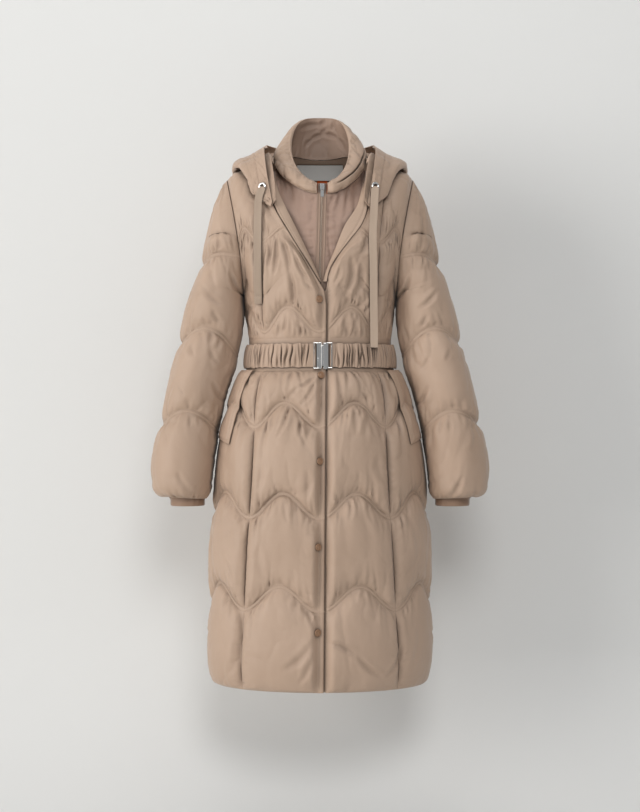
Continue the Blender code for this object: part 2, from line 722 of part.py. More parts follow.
def sleeve_puff(across, row):
    band = np.clip(np.floor(row), 0, 3)
    height = SLEEVE_PUFF * round_top(row - band)
    reach = (1.0 - np.abs(across)) * 0.2
    height = height * (1.0 - np.exp(-((reach / 0.013) ** 1.2)))
    return height * (1.0 - 0.8 * smooth_step(0.55, 0.95, np.abs(across)))


def sleeve_grid():
    rows = (0.0, 0.06, 0.2, 0.5, 0.86, 1.0, 1.14, 1.5, 1.86, 2.0, 2.12, 2.3, 2.5, 2.7, 2.88)
    rows = np.array(rows + (3.0, 3.12, 3.4, 3.7, 3.9, 4.0))
    columns = np.array([-1.0, -0.93, -0.8, -0.65, -0.5, -0.33, -0.16])
    columns = np.concatenate([columns, [0.0], -columns[::-1]]) * 0.9993
    return np.meshgrid(rows, columns, indexing="ij")[::-1]


def make_sleeves():
    across, row = sleeve_grid()
    base, normal = sleeve(across, row), sleeve_normal(across, row)
    outer = base + normal * (CLOTH_OUT + sleeve_puff(across, row))[..., None]
    inner = base - normal * CLOTH_IN
    cuff, cuff_inner = cuff_walls()
    for side, flip in (("left", lambda points: points), ("right", mirrored)):
        wall("sleeve_" + side, flip(outer), flip(inner), SHELL_CLOTH)
        wall("cuff_" + side, flip(cuff), flip(cuff_inner), CUFF_CLOTH, closed=True)


def cuff_walls():
    """Outer and inner points of the left storm cuff, ring by ring."""
    around = np.linspace(-1.0, 1.0, CUFF_SIDES + 1)[:-1]
    sewn = np.full(CUFF_SIDES, CUFF_ROW)
    rings = [sleeve(around, sewn) - sleeve_normal(around, sewn) * CUFF_INSET]
    middle_x, middle_y = CUFF_MIDDLE
    for z, half_width, half_depth in zip(*CUFF_RINGS.values()):
        x = middle_x + half_width * np.cos(math.pi * around)
        y = middle_y - half_depth * np.sin(math.pi * around)
        rings.append(np.stack([x, y, np.full(CUFF_SIDES, z)], axis=-1))
    outer = np.array(rings)
    out = (outer - np.array([middle_x, middle_y, 0.0])) * np.array([1.0, 1.0, 0.0])
    out = out / np.linalg.norm(out, axis=-1, keepdims=True)
    return outer, outer - out * CUFF_WALL


# ---------------------------------------------------------------- collar, bib and zip
def ring_point(sizes, rise, turn):
    """Point of the collar's base seam or top edge; turn is 0 at centre front."""
    half_width, middle, half_depth = sizes
    shift = COLLAR_SHIFT * (0.5 + 0.5 * np.cos(turn)) ** 4
    x = half_width * np.sin(turn) + shift
    z = read(COLLAR_RISE, "turn", rise, np.degrees(np.arccos(np.cos(turn))))
    return np.stack([x, middle - half_depth * np.cos(turn), z], axis=-1)


def collar(turn, height):
    base, top = ring_point(COLLAR_BASE, "base", turn), ring_point(COLLAR_TOP, "top", turn)
    point = mix(base, top, height[..., None])
    out = np.stack([np.sin(turn), -np.cos(turn), 0.0 * turn], axis=-1)
    return point + out * (0.006 * np.sin(math.pi * height))[..., None]


def collar_normal(turn, height):
    across = collar(turn + 0.02, height) - collar(turn - 0.02, height)
    along = collar(turn, height + 0.02) - collar(turn, height - 0.02)
    normal = np.cross(across, along)
    return normal / np.linalg.norm(normal, axis=-1, keepdims=True)


def make_collar():
    height, share = np.meshgrid((0.0, 0.1, 0.4, 0.7, 0.93, 1.0), np.linspace(0.0, 1.0, 25), indexing="ij")
    start = np.arcsin(COLLAR_OPENING / mix(COLLAR_BASE[0], COLLAR_TOP[0], height))
    turn = mix(start, 2.0 * math.pi - start, share)
    base, normal = collar(turn, height), collar_normal(turn, height)
    outer = base + normal * (CLOTH_OUT + 0.007 * round_top(height))[..., None]
    return wall("collar", outer, base - normal * CLOTH_IN, SHELL_CLOTH)


def front_at(x, z):
    """Point and normal of the body surface's front at this x and z, found by steps toward them."""
    x, z = np.broadcast_arrays(np.asarray(x, float), np.asarray(z, float))
    u, v = 8.0 * x, np.interp(z, LEVEL["low"], np.arange(len(LEVEL["low"])))
    chest = float(LEVEL["low"][LAST_ROW])
    v = np.where(z > chest, LAST_ROW + 4.0 * (z - chest), v)
    for _ in range(80):
        point = body(u, v)
        u = np.clip(u + 4.0 * (x - point[..., 0]), -2.0, 2.0)
        v = np.clip(v + 1.6 * (z - point[..., 2]), 0.0, SHOULDER - 0.05)
    return body(u, v), body_normal(u, v)


def zip_x(z):
    return COLLAR_SHIFT + 0.006 * (z - ZIP_HEAD) / (ZIP_HEAD - ZIP_FOOT)


def bib_y(x, z):
    """y of the bib, which joins the collar's base at its top."""
    depth = mix(BIB_POINT_DEPTH, BIB_DEPTH, smooth_step(-0.285, -0.200, z))
    behind = front_at(x, z)[0][..., 1] + depth
    turns = np.linspace(0.0, math.pi / 2, 91)
    ring = ring_point(COLLAR_BASE, "base", turns)
    collar_y = np.interp(np.abs(x - COLLAR_SHIFT), ring[:, 0] - COLLAR_SHIFT, ring[:, 1])
    collar_z = np.interp(np.abs(x - COLLAR_SHIFT), ring[:, 0] - COLLAR_SHIFT, ring[:, 2])
    near = smooth_step(-0.07, 0.0, z - collar_z)
    return mix(behind, collar_y, near), collar_z


def make_bib(side):
    """One half of the bib, from the zip tape out to behind the V's edge."""
    sign = 1.0 if side == "left" else -1.0
    part, up = np.meshgrid(np.linspace(0, 1, 6), (0.0, 0.25, 0.5, 0.7, 0.85, 0.95, 1.0))
    rim = np.abs(read(V_NECK, "z", side, mix(ZIP_FOOT, BIB_HEAD, up))) + BIB_REACH
    rim = np.minimum(rim, BIB_SIDE + (1.0 - up) * BIB_SIDE)
    start = sign * zip_x(mix(ZIP_FOOT, BIB_ZIP_HEAD, up)) + ZIP_WIDTH / 2 + SEAM_GAP
    x = sign * mix(start, rim, part)
    top = bib_y(x, np.full(x.shape, BIB_ZIP_HEAD))[1] - BIB_TOP_GAP
    z = mix(ZIP_FOOT, top, up)
    y = bib_y(x, z)[0]
    base = np.stack([x, y, z], axis=-1)
    normal = grid_normals(base)
    normal = normal * np.where(normal[..., 1:2] > 0.0, -1.0, 1.0)
    return wall("bib_" + side, base + normal * BIB_WALL, base - normal * BIB_WALL, SHELL_CLOTH)


def make_zip():
    """The closed zip's tape, up to the collar's top edge."""
    z = np.array(ZIP_TAPE_ROWS)
    centre_y = bib_y(zip_x(z), np.minimum(z, BIB_ZIP_HEAD))[0]
    y = np.where(z > ZIP_BEND, ZIP_HEAD_Y, centre_y)
    columns = np.array([-0.5, 0.0, 0.5]) * ZIP_WIDTH
    base = np.stack(np.broadcast_arrays(zip_x(z)[:, None] + columns, y[:, None], z[:, None]), axis=-1)
    front = np.array([0.0, -BIB_WALL, 0.0])
    return wall("zip_tape", base + front, base - front, SHELL_CLOTH)


def box(name, low, high, finish, bevel=0.0, cuts=()):
    """A box between two corners, with smaller boxes cut from it and its edges rounded."""
    shape = bmesh.new()
    bmesh.ops.create_cube(shape, size=1.0)
    low, high = Vector(low), Vector(high)
    for vertex in shape.verts:
        vertex.co = [(low[k] + high[k]) / 2 + vertex.co[k] * (high[k] - low[k]) for k in range(3)]
    mesh = bpy.data.meshes.new(name)
    shape.to_mesh(mesh)
    shape.free()
    made = add_object(name, mesh, finish, smooth=False)
    for index, (cut_low, cut_high) in enumerate(cuts):
        cutter = box(f"{name}_cut_{index}", cut_low, cut_high, finish)
        cutter.hide_render = True
        cutter.display_type = "WIRE"
        modifier = made.modifiers.new("Cut", "BOOLEAN")
        modifier.operation, modifier.object = "DIFFERENCE", cutter
    if bevel:
        modifier = made.modifiers.new("Bevel", "BEVEL")
        modifier.width, modifier.segments = bevel, 2
    return made


def make_slider():
    """The zip's slider with the arch of its bail, and the pull tab whose bar lies in the arch."""
    x = zip_x(ZIP_HEAD)
    back = ZIP_HEAD_Y - 0.0011
    y, z = PULL_PIVOT
    face = y + 0.0025
    slider = box("zip_slider", (x - 0.0045, face, SLIDER_FOOT), (x + 0.0045, back, SLIDER_TOP), CHROME)
    arch = box("arch", (x - 0.0006, y - 0.0028, z - 0.0034), (x + 0.0006, face + 0.0010, z + 0.0036), CHROME)
    arch.hide_render = True
    arch.display_type = "WIRE"
    join = slider.modifiers.new("Arch", "BOOLEAN")
    join.operation, join.object = "UNION", arch
    hole = box("arch_hole", (x - 0.002, y - 0.0018, z - 0.0024), (x + 0.002, face, z + 0.0026), CHROME)
    hole.hide_render = True
    hole.display_type = "WIRE"
    cut = slider.modifiers.new("Arch_hole", "BOOLEAN")
    cut.operation, cut.object = "DIFFERENCE", hole
    low = (x - PULL_HALF_WIDTH, y - 0.0006, z - PULL_LENGTH)
    high = (x + PULL_HALF_WIDTH, y + 0.0006, z + 0.0006)
    eye = ((x - 0.0016, y - 0.002, z - 0.0085), (x + 0.0016, y + 0.002, z - 0.0006))
    box("zip_pull", low, high, CHROME, 0.0, (eye,))


def make_facing(side):
    """The stitched facing between a front's V edge and the bib."""
    z = np.linspace(FACING_FOOT, FACING_HEAD, 12)
    outer_x = read(V_NECK, "z", side, z)
    sign = 1.0 if side == "left" else -1.0
    outer_x = outer_x - sign * (0.0016 + 0.0035 * smooth_step(-0.135, -0.085, z))
    inner_x = read(FACING, "z", side, z)
    point = front_at(outer_x, z)[0]
    inner_y = bib_y(sign * np.minimum(np.abs(inner_x), BIB_SIDE), z)[0] - FACING_LIFT
    part = np.array((0.0, 0.3, 0.65, 1.0))[None, :]
    x = mix(outer_x[:, None], inner_x[:, None], part)
    y = mix(point[:, None, 1], inner_y[:, None], part**1.5)
    base = np.stack(np.broadcast_arrays(x, y, z[:, None]), axis=-1)
    normal = grid_normals(base)
    normal = normal * np.where(normal[..., 1:2] > 0.0, -1.0, 1.0)
    return wall("facing_" + side, base + normal * FACING_WALL, base - normal * FACING_WALL, SHELL_CLOTH)


# ---------------------------------------------------------------- hood
def over_shoulder(u, over):
    """Body point and normal where `over` runs on past the shoulder seam to the back."""
    front = over < 0.0
    real_u = np.where(front, u, 4.0 - u)
    v = SHOULDER - np.abs(over)
    point, normal = body(real_u, v), body_normal(real_u, v)
    return point, normal


def hood_point(along, section):
    """Point of the hood's base surface: along from its front end to centre back."""
    rows = np.arange(HOOD_SECTIONS)
    reach = np.interp(section, rows, HOOD_SECTION["reach"])
    rise = np.interp(section, rows, HOOD_SECTION["rise"])
    upper = smooth_step(5.0, HOOD_SECTIONS - 1.0, section)
    start_u = mix(read(HOOD, "along", "neck_u", along), read(HOOD, "along", "face_u", along), upper)
    start_over = mix(read(HOOD, "along", "neck_over", along), read(HOOD, "along", "face_over", along), upper)
    u = mix(start_u, read(HOOD, "along", "fold_u", along), reach)
    over = mix(start_over, read(HOOD, "along", "fold_over", along), reach)
    point, normal = over_shoulder(u, over)
    depth = read(HOOD, "along", "depth", along)
    lift = read(HOOD, "along", "lift", along) + rise * depth
    face = read(HOOD, "along", "face_lift", along)
    lift = mix(lift, np.maximum(face, lift), upper * (1.0 - reach))
    return point, normal, lift


def drawn_in(points):
    """The hood's left half with its outermost folds drawn in towards the neck."""
    past = np.maximum(points[..., 0] - HOOD_TUCK, 0.0)
    shift = 0.33 * past * (1.0 - np.exp(-past / 0.012))
    return points + np.stack([-shift, 0.0 * shift, HOOD_TUCK_RISE * shift], axis=-1)


def make_hood(carrier):
    """The hood, a folded pouch whose neck seam lies on the fronts and the back."""
    half = np.array((0.0, 0.07, 0.15, 0.23, 0.32, 0.42, 0.52, 0.63, 0.75, 0.88, 1.0))
    section, along = np.meshgrid(np.arange(float(HOOD_SECTIONS)), half, indexing="ij")
    point, normal, lift = hood_point(along, section)
    left = point + normal * lift[..., None]
    left[0] = seated(left[0], normal[0], carrier, HOOD_WALL + HOOD_SEAT, 0.010)
    left = drawn_in(left)
    right = mirrored(left)[:, -2::-1]
    base = np.concatenate([left, right], axis=1)
    out = grid_normals(base)
    under_fold = out[2, 10]
    if under_fold[1] > 0.0 or under_fold[2] > 0.0:
        out = -out
    return wall("hood", base + out * HOOD_WALL, base - out * HOOD_WALL, SHELL_CLOTH)


# ---------------------------------------------------------------- belt, buckle, snaps, pockets
def waist_u(x):
    """u of a point near the middle of the waist's front at this x."""
    return math.degrees(x / WAIST_HALF_WIDTH) / WAIST_PRINCESS


def make_belt():
    right_end, left_end = BELT_ENDS
    u = np.linspace(waist_u(left_end), FULL_TURN + waist_u(right_end), 2 * BELT_GATHERS + 1)
    heights = BELT_MIDDLE + BELT_HEIGHT * np.array((-0.5, 0.0, 0.5))
    foot, head = body(u, BELT_FOOT), body(u, BELT_HEAD)
    part = (heights[:, None, None] - foot[:, 2:]) / (head - foot)[:, 2:]
    base = mix(foot, head, part)
    out = np.stack([np.gradient(foot[:, 1]), -np.gradient(foot[:, 0]), 0.0 * u], axis=-1)
    out = out / np.linalg.norm(out, axis=-1, keepdims=True)
    uneven = 1.0 + 0.3 * np.sin(21.0 * u)
    fold = np.where(np.arange(len(u)) % 2 == 0, 0.0, BELT_FOLD) * uneven
    fold[0] = fold[-1] = 0.0
    fold = fold * np.array((0.7, 1.0, 0.7))[:, None]
    outer = base + out * (BELT_FACE + fold)[..., None]
    return wall("belt", outer, base + out * BELT_LIFT, SHELL_CLOTH)


def make_buckle(back):
    """Two plates side by side, each with an upright slot for its end of the belt."""
    face = back - BUCKLE_THICKNESS
    for name, x0, x1, slot_x0, slot_x1 in BUCKLES:
        slot = (
            (slot_x0, face - CUT_PAST, BUCKLE_FOOT + BUCKLE_BAR),
            (slot_x1, back + CUT_PAST, BUCKLE_HEAD - BUCKLE_BAR),
        )
        box(name, (x0, face, BUCKLE_FOOT), (x1, back, BUCKLE_HEAD), CHROME, BUCKLE_ROUNDING, (slot,))


def disc(name, centre, normal, radius, thickness, finish, hole=0.0):
    """A round plate with rounded rim, its back at the centre given, perhaps with a round hole."""
    profile = [(hole, 0.0), (radius, 0.0), (radius, 0.6 * thickness), (0.8 * radius, thickness)]
    profile.append((max(hole, 0.35 * radius), thickness * (1.0 if hole else 0.7)))
    mesh = bpy.data.meshes.new(name)
    sides = 16
    points, faces = [], []
    rings = profile if hole else profile[1:]
    for radius_here, height in rings:
        for k in range(sides):
            turn = 2.0 * math.pi * k / sides
            points.append((radius_here * math.cos(turn), radius_here * math.sin(turn), height))
    count = len(rings)
    for i in range(count if hole else count - 1):
        j = (i + 1) % count
        for k in range(sides):
            m = (k + 1) % sides
            faces.append((i * sides + k, i * sides + m, j * sides + m, j * sides + k))
    if not hole:
        faces.append(tuple(reversed(range(sides))))
        faces.append(tuple((count - 1) * sides + k for k in range(sides)))
    mesh.from_pydata(points, [], faces)
    made = add_object(name, mesh, finish)
    made.location = centre
    made.rotation_euler = Vector(normal).to_track_quat("Z", "Y").to_euler()
    bpy.context.view_layer.update()
    return made


def make_snaps(front):
    """Snap caps on the flat edge of the top front, each just clear of the cloth under its rim."""
    carrier = surface_of(front)
    ahead = Vector((0.0, 1.0, 0.0))
    for index, (x, z) in enumerate(zip(SNAPS["x"], SNAPS["z"])):
        centre = carrier.ray_cast(Vector((x, -0.3, z)), ahead)[0]
        rim = []
        for k in range(16):
            turn = math.pi * k / 8
            aside, up = SNAP_RADIUS * math.cos(turn), SNAP_RADIUS * math.sin(turn)
            rim.append(carrier.ray_cast(Vector((x + aside, -0.3, z + up)), ahead)[0])
        normal = (rim[0] - rim[8]).cross(rim[4] - rim[12]).normalized()
        normal = normal if normal.y < 0.0 else -normal
        height = max((point - centre).dot(normal) for point in [centre] + rim)
        back = centre + normal * (height + 0.0004)
        disc(f"snap_{index + 1}", back, normal, SNAP_RADIUS, 0.0026, SNAP_FINISH)


def v_at(u, z):
    v = np.interp(z, LEVEL["low"], np.arange(len(LEVEL["low"])))
    for _ in range(60):
        v = np.clip(v + (z - body(u, v)[..., 2]) * 3.0, 0.0, 7.9)
    return v


def u_at(turn, z):
    princess = read(PRINCESS, "z", "angle", z)
    return 1.0 + (turn - princess) / (90.0 - princess)


def make_welts(panels):
    foot, _, head = WELT["z"]
    part, z = np.meshgrid(np.linspace(0.0, 1.0, 5), np.linspace(foot, head, 7))
    turn = mix(read(WELT, "z", "inner", z), read(WELT, "z", "outer", z), part)
    z = z + WELT_SLOPE * part * smooth_step(foot / 2 + head / 2, foot, z)
    u = u_at(turn, z)
    v = v_at(u, z)
    base, normal = body(u, v), body_normal(u, v)
    for side in ("left", "right"):
        if side == "right":
            base, normal = mirrored(base), mirrored(normal)
        carrier = surface_of(panels["side_front_" + side])
        inner = seated(base, normal, carrier, WELT_LIFT, 0.014)
        outer = inner + normal * WELT_WALL
        wall("pocket_welt_" + side, outer, inner, SHELL_CLOTH)


# ---------------------------------------------------------------- eyelets, drawstrings, labels
# Route of each drawstring from its eyelet down the front: place across and height.
DRAWSTRING_LEFT = table(
    "x z",
    (0.1122, -0.0705), (0.1115, -0.0800), (0.1102, -0.1050), (0.1090, -0.1310), (0.1076, -0.1560),
    (0.1070, -0.1780), (0.1077, -0.2010), (0.1084, -0.2240), (0.1088, -0.2500),
    (0.1091, -0.2760), (0.1095, -0.3020), (0.1100, -0.3330), (0.1106, -0.3640),
    (0.1110, -0.3968),
)
DRAWSTRING_RIGHT = table(
    "x z",
    (-0.1176, -0.0705), (-0.1205, -0.0800), (-0.1245, -0.0920), (-0.1262, -0.1050), (-0.1269, -0.1300),
    (-0.1273, -0.1550), (-0.1277, -0.1800), (-0.1277, -0.2050), (-0.1275, -0.2300),
    (-0.1274, -0.2550), (-0.1271, -0.2800), (-0.1266, -0.3070),
)


def make_drawstring(side, route, carriers):
    """A flat tape that hangs from its eyelet over the fronts, in one plane across."""
    carrier = surface_of(*carriers)
    x, z = route["x"], route["z"]
    columns = np.array((-0.5, 0.0, 0.5)) * TAPE_WIDTH
    front = []
    for place, height in zip(x, z):
        depths = []
        for column in np.linspace(columns[0], columns[-1], 7):
            for step in (-0.008, 0.0, 0.008):
                start = Vector((place + column, -0.4, height + step))
                depths.append(carrier.ray_cast(start, Vector((0.0, 1.0, 0.0)))[0].y)
        front.append(min(depths) - 0.0011)
    front = np.array(front)
    # A tape under its own weight bridges hollows: no point lies behind the line of its neighbours.
    for _ in range(200):
        front[1:-1] = np.minimum(front[1:-1], 0.5 * (front[:-2] + front[2:]))
    base = np.stack(np.broadcast_arrays(x[:, None] + columns, front[:, None], z[:, None]), axis=-1)
    thick = np.array([0.0, -0.0018, 0.0])
    return wall("drawstring_" + side, base + thick, base, SHELL_CLOTH)


def make_eyelets(made):
    carrier = surface_of(made["hood"])
    for side, x in EYELETS.items():
        hit, normal, _, _ = carrier.ray_cast(Vector((x, -0.4, EYELET_Z)), Vector((0.0, 1.0, 0.0)))
        normal = normal if normal.y < 0.0 else -normal
        name = "eyelet_" + side
        made[name] = disc(name, hit + normal * 0.0007, normal, EYELET_RADIUS, 0.0016, CHROME, EYELET_HOLE)


def hung_inside(name, x, z, carrier, gap, finish):
    """A flat piece that hangs this far ahead of the inside of the back."""
    x, z = np.meshgrid(x, z)
    y = np.empty(x.shape)
    for place in np.ndindex(x.shape):
        start = Vector((x[place], BODY_MIDDLE_Y, z[place]))
        y[place] = carrier.ray_cast(start, Vector((0.0, 1.0, 0.0)))[0].y - gap
    base = np.stack([x, y, z], axis=-1)
    return wall(name, base, base - np.array([0.0, LABEL_WALL, 0.0]), finish)


def make_labels(back):
    """A bare label inside the back of the neck, and a small tab that hangs behind its foot."""
    carrier = surface_of(back)
    label_x = np.linspace(-LABEL_HALF_WIDTH, LABEL_HALF_WIDTH, 9)
    label_z = np.linspace(LABEL_FOOT, LABEL_HEAD, 4)
    hung_inside("label", label_x, label_z, carrier, 2 * LABEL_GAP + LABEL_WALL, LABEL_CLOTH)
    tab_x, tab_z = np.linspace(TAB_RIGHT, TAB_LEFT, 3), np.linspace(TAB_FOOT, TAB_HEAD, 4)
    hung_inside("size_tab", tab_x, tab_z, carrier, LABEL_GAP / 2, TAB_CLOTH)


def main():
    clear_scene()
    made = side_panels()
    made["back"] = back_panel()
    made["front_right"] = front_right()
    made["front_left"] = front_left()
    make_sleeves()
    make_collar()
    make_bib("left")
    make_bib("right")
    make_zip()
    make_slider()
    make_facing("left")
    make_facing("right")
    made["hood"] = make_hood(surface_of(made["back"], made["front_left"], made["front_right"]))
    made["belt"] = make_belt()
    make_buckle(BUCKLE_BACK)
    make_snaps(made["front_right"])
    make_welts(made)
    make_eyelets(made)
    for side, route in (("left", DRAWSTRING_LEFT), ("right", DRAWSTRING_RIGHT)):
        below = ["front_" + side, "side_front_" + side, "hood", "belt", "eyelet_" + side]
        make_drawstring(side, route, [made[name] for name in below])
    make_labels(made["back"])


main()
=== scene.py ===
"""Looks of a long hooded puffer coat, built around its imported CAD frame.

Metres, +Z up, the front faces -Y. Each padded panel is a fine shell over the same base surfaces
as its solid: body(u, v) for the body, sleeve(across, row), collar(turn, height) and the hood.
On top come the quilted puffs with their stitched lines, the short gathers along each seam and
the longer folds, then the small pieces: belt, buckle, zip, snaps, eyelets, tapes and labels.
"""

import math

import bpy
import numpy as np
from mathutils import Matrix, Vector
from mathutils.bvhtree import BVHTree


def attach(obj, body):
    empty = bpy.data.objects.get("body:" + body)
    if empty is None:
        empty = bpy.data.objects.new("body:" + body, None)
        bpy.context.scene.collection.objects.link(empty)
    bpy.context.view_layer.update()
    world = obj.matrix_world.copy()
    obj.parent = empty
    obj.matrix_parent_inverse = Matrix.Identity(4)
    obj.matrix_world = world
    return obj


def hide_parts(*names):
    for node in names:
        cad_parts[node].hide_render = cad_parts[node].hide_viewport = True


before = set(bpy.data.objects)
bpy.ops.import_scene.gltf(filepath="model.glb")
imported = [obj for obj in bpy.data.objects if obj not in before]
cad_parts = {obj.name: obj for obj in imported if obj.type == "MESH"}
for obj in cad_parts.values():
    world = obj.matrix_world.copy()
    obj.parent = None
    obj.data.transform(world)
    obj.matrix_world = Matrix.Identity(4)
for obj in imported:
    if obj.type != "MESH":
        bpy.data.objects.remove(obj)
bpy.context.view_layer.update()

# ---------------------------------------------------------------- sizes shared with the solids


SEAM_GAP = 0.0003          # between two pieces that are sewn together
CLOTH_OUT = 0.0008         # outer face of a wall, from its base surface
CLOTH_IN = 0.0012          # inner face of a wall, from its base surface
UNDERLAP = 0.0046          # depth that the under front lies behind the top front
FRONT_OVERLAP = 0.035      # width of the under front behind the top front
PLACKET_WIDTH = 0.022      # flat band along the edge of the top front
BELT_HEIGHT = 0.048
BELT_MIDDLE = -0.4125
BELT_LIFT, BELT_FACE = 0.0017, 0.0034   # back and face of the belt, from the body's surface
SNAP_RADIUS = 0.0075
TAPE_WIDTH = 0.0155        # drawstring tape
ZIP_WIDTH = 0.019


def table(columns, *rows):
    """A short table as a dictionary of named columns."""
    return dict(zip(columns.split(), np.array(rows, float).T))


# Rows of quilting: height at their low points, height of their waves, puff of the band above.
LEVEL = table(
    "low wave puff",
    (-1.094, 0.000, 0.013),    # 0 hem
    (-0.931, 0.050, 0.013),    # 1
    (-0.744, 0.050, 0.013),    # 2
    (-0.560, 0.050, 0.011),    # 3
    (-0.445, 0.000, 0.000),    # 4 foot of the belt
    (-0.378, 0.000, 0.003),    # 5 head of the belt
    (-0.365, 0.050, 0.010),    # 6
    (-0.180, 0.032, 0.008),    # 7 the last row; 8 is the shoulder seam
)
HEM, BELT_FOOT, BELT_HEAD, CHEST_ROW, LAST_ROW, SHOULDER = 0, 4, 5, 6, 7, 8
FULL_TURN = 8.0                # u counts to this all the way round
U_WIDTH = 0.15                 # about how much cloth one u takes, in metres
UNDERARM = 6.4                 # v at which the side seam reaches the armhole

# Body cloth: half width and half depth at each height.
BODY = table(
    "z half_width half_depth",
    (-1.094, 0.2185, 0.146),
    (-1.050, 0.2235, 0.150),
    (-0.960, 0.2240, 0.150),
    (-0.860, 0.2220, 0.149),
    (-0.750, 0.2175, 0.146),
    (-0.650, 0.2075, 0.141),
    (-0.590, 0.2000, 0.137),
    (-0.530, 0.1870, 0.131),
    (-0.475, 0.1690, 0.122),
    (-0.440, 0.1540, 0.113),
    (-0.385, 0.1480, 0.109),
    (-0.340, 0.1520, 0.114),
    (-0.292, 0.1570, 0.120),
    (-0.180, 0.1660, 0.123),
)
# Angle of the princess seam from centre front, in degrees.
PRINCESS = table(
    "z angle",
    (-1.094, 46.0),
    (-0.840, 42.0),
    (-0.590, 42.0),
    (-0.440, 49.0),
    (-0.300, 49.0),
    (-0.100, 45.0),
)
# Armhole, an oval standing in the side of the coat.
ARM_X, ARM_Z = 0.175, -0.168   # its middle
ARM_LEAN = 0.018               # its top lies this far outside its middle
ARM_HEIGHT = 0.124             # half height
ARM_DEPTH = 0.072              # half depth
ARM_SCOOP = 0.006
NECK_TOP = 0.040               # height where the two shoulder slopes would meet
LAST_ROW_TURN = math.radians(98)

# Edges of the V neck, from its point up to the neck; right is the top front's edge.
V_NECK = table(
    "z right left",
    (-0.286, 0.0110, 0.0120),
    (-0.240, -0.0165, 0.0210),
    (-0.180, -0.0535, 0.0610),
    (-0.150, -0.0715, 0.0840),
    (-0.120, -0.0895, 0.0970),
    (-0.085, -0.1050, 0.1040),
    (-0.040, -0.1060, 0.1060),
    (0.000, -0.0955, 0.0955),
)
# Inner edges of the facings along the V.
FACING = table(
    "z right left",
    (-0.264, 0.0020, 0.0065),
    (-0.240, -0.0080, 0.0135),
    (-0.200, -0.0265, 0.0300),
    (-0.148, -0.0520, 0.0510),
    (-0.108, -0.0715, 0.0757),
    (-0.075, -0.0860, 0.0850),
    (-0.050, -0.0920, 0.0915),
    (-0.030, -0.0950, 0.0950),
)
V_POINT = 6.44                 # v at which the front edges part
NECK_MARGIN = 0.0022           # the back neckline lies this far outside the collar's base
TOP_EDGE = table("z x", (-1.094, 0.0075), (-0.286, 0.0130))

# Sleeve: row 0 is the hem, 1 to 3 are quilting rows and 4 is the top of the cap.
SLEEVE_OUTER = table(
    "row x z half_depth middle_y",
    (0.00, 0.3160, -0.7040, 0.0400, -0.022),
    (0.10, 0.3345, -0.6950, 0.0500, -0.022),
    (0.30, 0.3395, -0.6680, 0.0550, -0.020),
    (1.00, 0.3262, -0.5570, 0.0600, -0.014),
    (1.50, 0.3060, -0.4725, 0.0630, -0.009),
    (2.00, 0.2880, -0.3890, 0.0660, -0.004),
    (2.50, 0.2680, -0.3080, 0.0700, 0.000),
    (3.00, 0.2430, -0.2270, 0.0735, 0.000),
    (3.50, 0.2190, -0.1350, 0.0735, 0.000),
    (4.00, 0.1940, -0.0560, 0.0735, 0.000),
)
SLEEVE_INNER = table(
    "row x z",
    (0.00, 0.2370, -0.7090),
    (0.10, 0.2310, -0.6970),
    (0.30, 0.2285, -0.6700),
    (1.00, 0.2130, -0.5710),
    (1.50, 0.1990, -0.4960),
    (2.00, 0.1730, -0.4120),
    (2.25, 0.1640, -0.3500),
    (2.50, 0.1610, -0.2920),
)
SLEEVE_WAVES = (0.0, 0.037, 0.043, 0.012, 0.0)
SLEEVE_UNDERARM = 2.5
SLEEVE_LAST_ROW = 3.0
SLEEVE_LAST_TURN = math.radians(109)
SLEEVE_PUFF = 0.011
ARM_SEAM = 0.0018          # the sleeve's edge lies this far outside the armhole
# Storm cuff: its top is sewn inside the sleeve at a row near the hem, and these rings follow.
CUFF_ROW, CUFF_INSET = 0.16, 0.0066
CUFF_MIDDLE = (0.2762, -0.022)
CUFF_RINGS = table(
    "z half_width half_depth",
    (-0.6985, 0.0362, 0.0350),
    (-0.7100, 0.0352, 0.0340),
    (-0.7240, 0.0345, 0.0330),
)
CUFF_WALL = 0.0014

# Collar: half width, middle y and half depth of its base seam and of its top edge, and their
# heights round it, from centre front at 0 degrees to centre back. It is open at the zip.
COLLAR_BASE = (0.0920, -0.0205, 0.0815)
COLLAR_TOP = (0.0600, -0.0200, 0.0750)
COLLAR_RISE = table(
    "turn base top",
    (0, -0.0830, -0.0630),
    (15, -0.0800, -0.0600),
    (30, -0.0703, -0.0510),
    (45, -0.0565, -0.0365),
    (60, -0.0410, -0.0184),
    (80, -0.0195, 0.0110),
    (90, -0.0100, 0.0268),
    (100, -0.0020, 0.0427),
    (110, 0.0052, 0.0577),
    (120, 0.0094, 0.0710),
    (130, 0.0120, 0.0816),
    (140, 0.0134, 0.0892),
    (150, 0.0126, 0.0938),
    (165, 0.0097, 0.0968),
    (180, 0.0090, 0.0974),
)
COLLAR_OPENING = 0.0103    # half width of the gap at its front
COLLAR_SHIFT = 0.0045      # the zip ends this far left of the middle
ZIP_FOOT, ZIP_HEAD = -0.300, -0.062
ZIP_HEAD_Y = -0.0965
BIB_DEPTH = 0.014          # the bib lies this far behind the fronts,
BIB_POINT_DEPTH = 0.0090   # and this far at the point of the V
BIB_REACH = 0.010          # it reaches this far past the V's edge,
BIB_SIDE = 0.089           # but at its top no farther from the middle than this
BIB_HEAD = -0.022          # height of its outer corners
BIB_TOP_GAP = 0.0020       # between it and the collar's base
BIB_WALL = 0.0008          # half its thickness
BIB_ZIP_HEAD = -0.0860     # height of its corners at the zip
FACING_FOOT, FACING_HEAD = -0.264, -0.032
FACING_LIFT = 0.0054       # a facing's inner edge lies this far ahead of the bib
FACING_WALL = 0.0007       # half its thickness
ZIP_BEND = -0.08           # above this height the tape is sewn to the collar's ends

